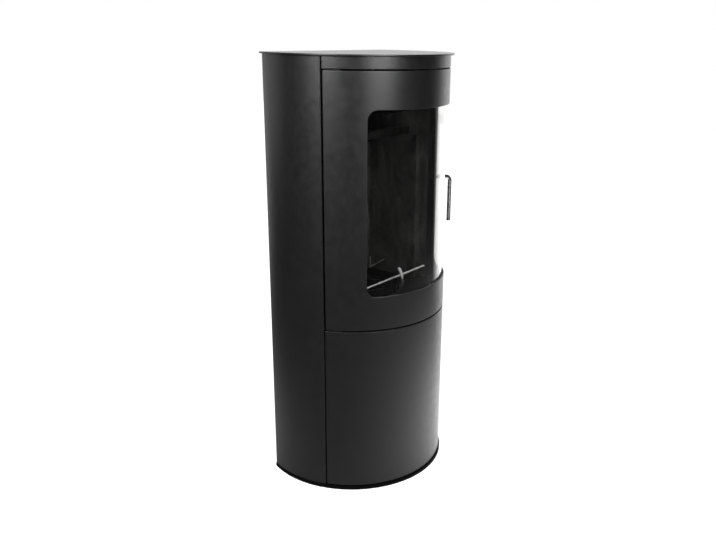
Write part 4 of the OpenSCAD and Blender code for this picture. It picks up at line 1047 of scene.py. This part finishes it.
# What reflections see of the floor: pools of light round the stove, each with its direction, strength
# and reach. With r the distance from the axis and c the cosine of the angle from the pool's direction
# a pool is strength ((1 + c) / 2)^2 exp(-(r / reach)^2). Where the last pool has faded, the white sweep
# behind takes over.
def floorGlow(tree, place):
    way = vectorMaths(tree, "NORMALIZE", place)
    far = vectorMaths(tree, "LENGTH", place)
    total = None
    for angle, strength, reach in stage["pools"]:
        turn = maths(tree, "ADD", vectorMaths(tree, "DOT_PRODUCT", way, compass(angle)), 1.0)
        share = maths(tree, "POWER", maths(tree, "MULTIPLY", turn, 0.5), 2.0)
        part = maths(tree, "POWER", maths(tree, "DIVIDE", far, reach), 2.0)
        fall = maths(tree, "EXPONENT", maths(tree, "MULTIPLY", part, -1.0))
        near = maths(tree, "MULTIPLY", maths(tree, "MULTIPLY", share, fall), strength)
        total = near if total is None else maths(tree, "ADD", total, near)
    sweep = maths(tree, "MULTIPLY", backShare(tree, way), stage["sweep"])
    rest = maths(tree, "MULTIPLY", maths(tree, "SUBTRACT", 1.0, fall), sweep)
    return maths(tree, "ADD", maths(tree, "ADD", total, rest), stage["front"])


# The floor is matt and white. It shines a little towards the camera, and less through the glass, so that
# it meets the white backdrop and still keeps a soft shadow. Reflections see its glow alone.
def floorLook():
    material, tree, shader, place = blank("floor_paint")
    tone = stage["floor"]
    cloud = ramp(tree, noise(tree, place, 3), [(0.2, (tone - 0.01,) * 3), (0.8, (tone + 0.01,) * 3)])
    tree.links.new(cloud, shader.inputs["Base Color"])
    shader.inputs["Roughness"].default_value = 0.9
    shader.inputs["Specular IOR Level"].default_value = 0.0
    path = tree.nodes.new("ShaderNodeLightPath")
    turns = maths(tree, "ADD", path.outputs["Diffuse Depth"], path.outputs["Glossy Depth"])
    through = maths(tree, "SUBTRACT", path.outputs["Is Transmission Ray"], turns)
    through = maths(tree, "MAXIMUM", through, 0.0)
    mirror = maths(tree, "MULTIPLY", path.outputs["Is Glossy Ray"], maths(tree, "SUBTRACT", 1.0, through))
    lift = tree.nodes.new("ShaderNodeEmission")
    tree.links.new(maths(tree, "ADD", maths(tree, "MULTIPLY", through, stage["farLift"]),
                         maths(tree, "MULTIPLY", path.outputs["Is Camera Ray"], stage["floorLift"])),
                   lift.inputs["Strength"])
    both = tree.nodes.new("ShaderNodeAddShader")
    tree.links.new(shader.outputs[0], both.inputs[0])
    tree.links.new(lift.outputs[0], both.inputs[1])
    dim = tree.nodes.new("ShaderNodeEmission")
    tree.links.new(floorGlow(tree, place), dim.inputs["Strength"])
    mix = tree.nodes.new("ShaderNodeMixShader")
    tree.links.new(mirror, mix.inputs[0])
    tree.links.new(both.outputs[0], mix.inputs[1])
    tree.links.new(dim.outputs[0], mix.inputs[2])
    out = next(n for n in tree.nodes if n.type == "OUTPUT_MATERIAL")
    tree.links.new(mix.outputs[0], out.inputs[0])
    return material


half = stage["floorHalf"]
corners = [(-half, -half, 0), (half, -half, 0), (half, half, 0), (-half, half, 0)]
mesh = bpy.data.meshes.new("floor")
mesh.from_pydata(corners, [], [(0, 1, 2, 3)])
mesh.materials.append(floorLook())
floor = bpy.data.objects.new("floor", mesh)
bpy.context.scene.collection.objects.link(floor)
print("stage done")
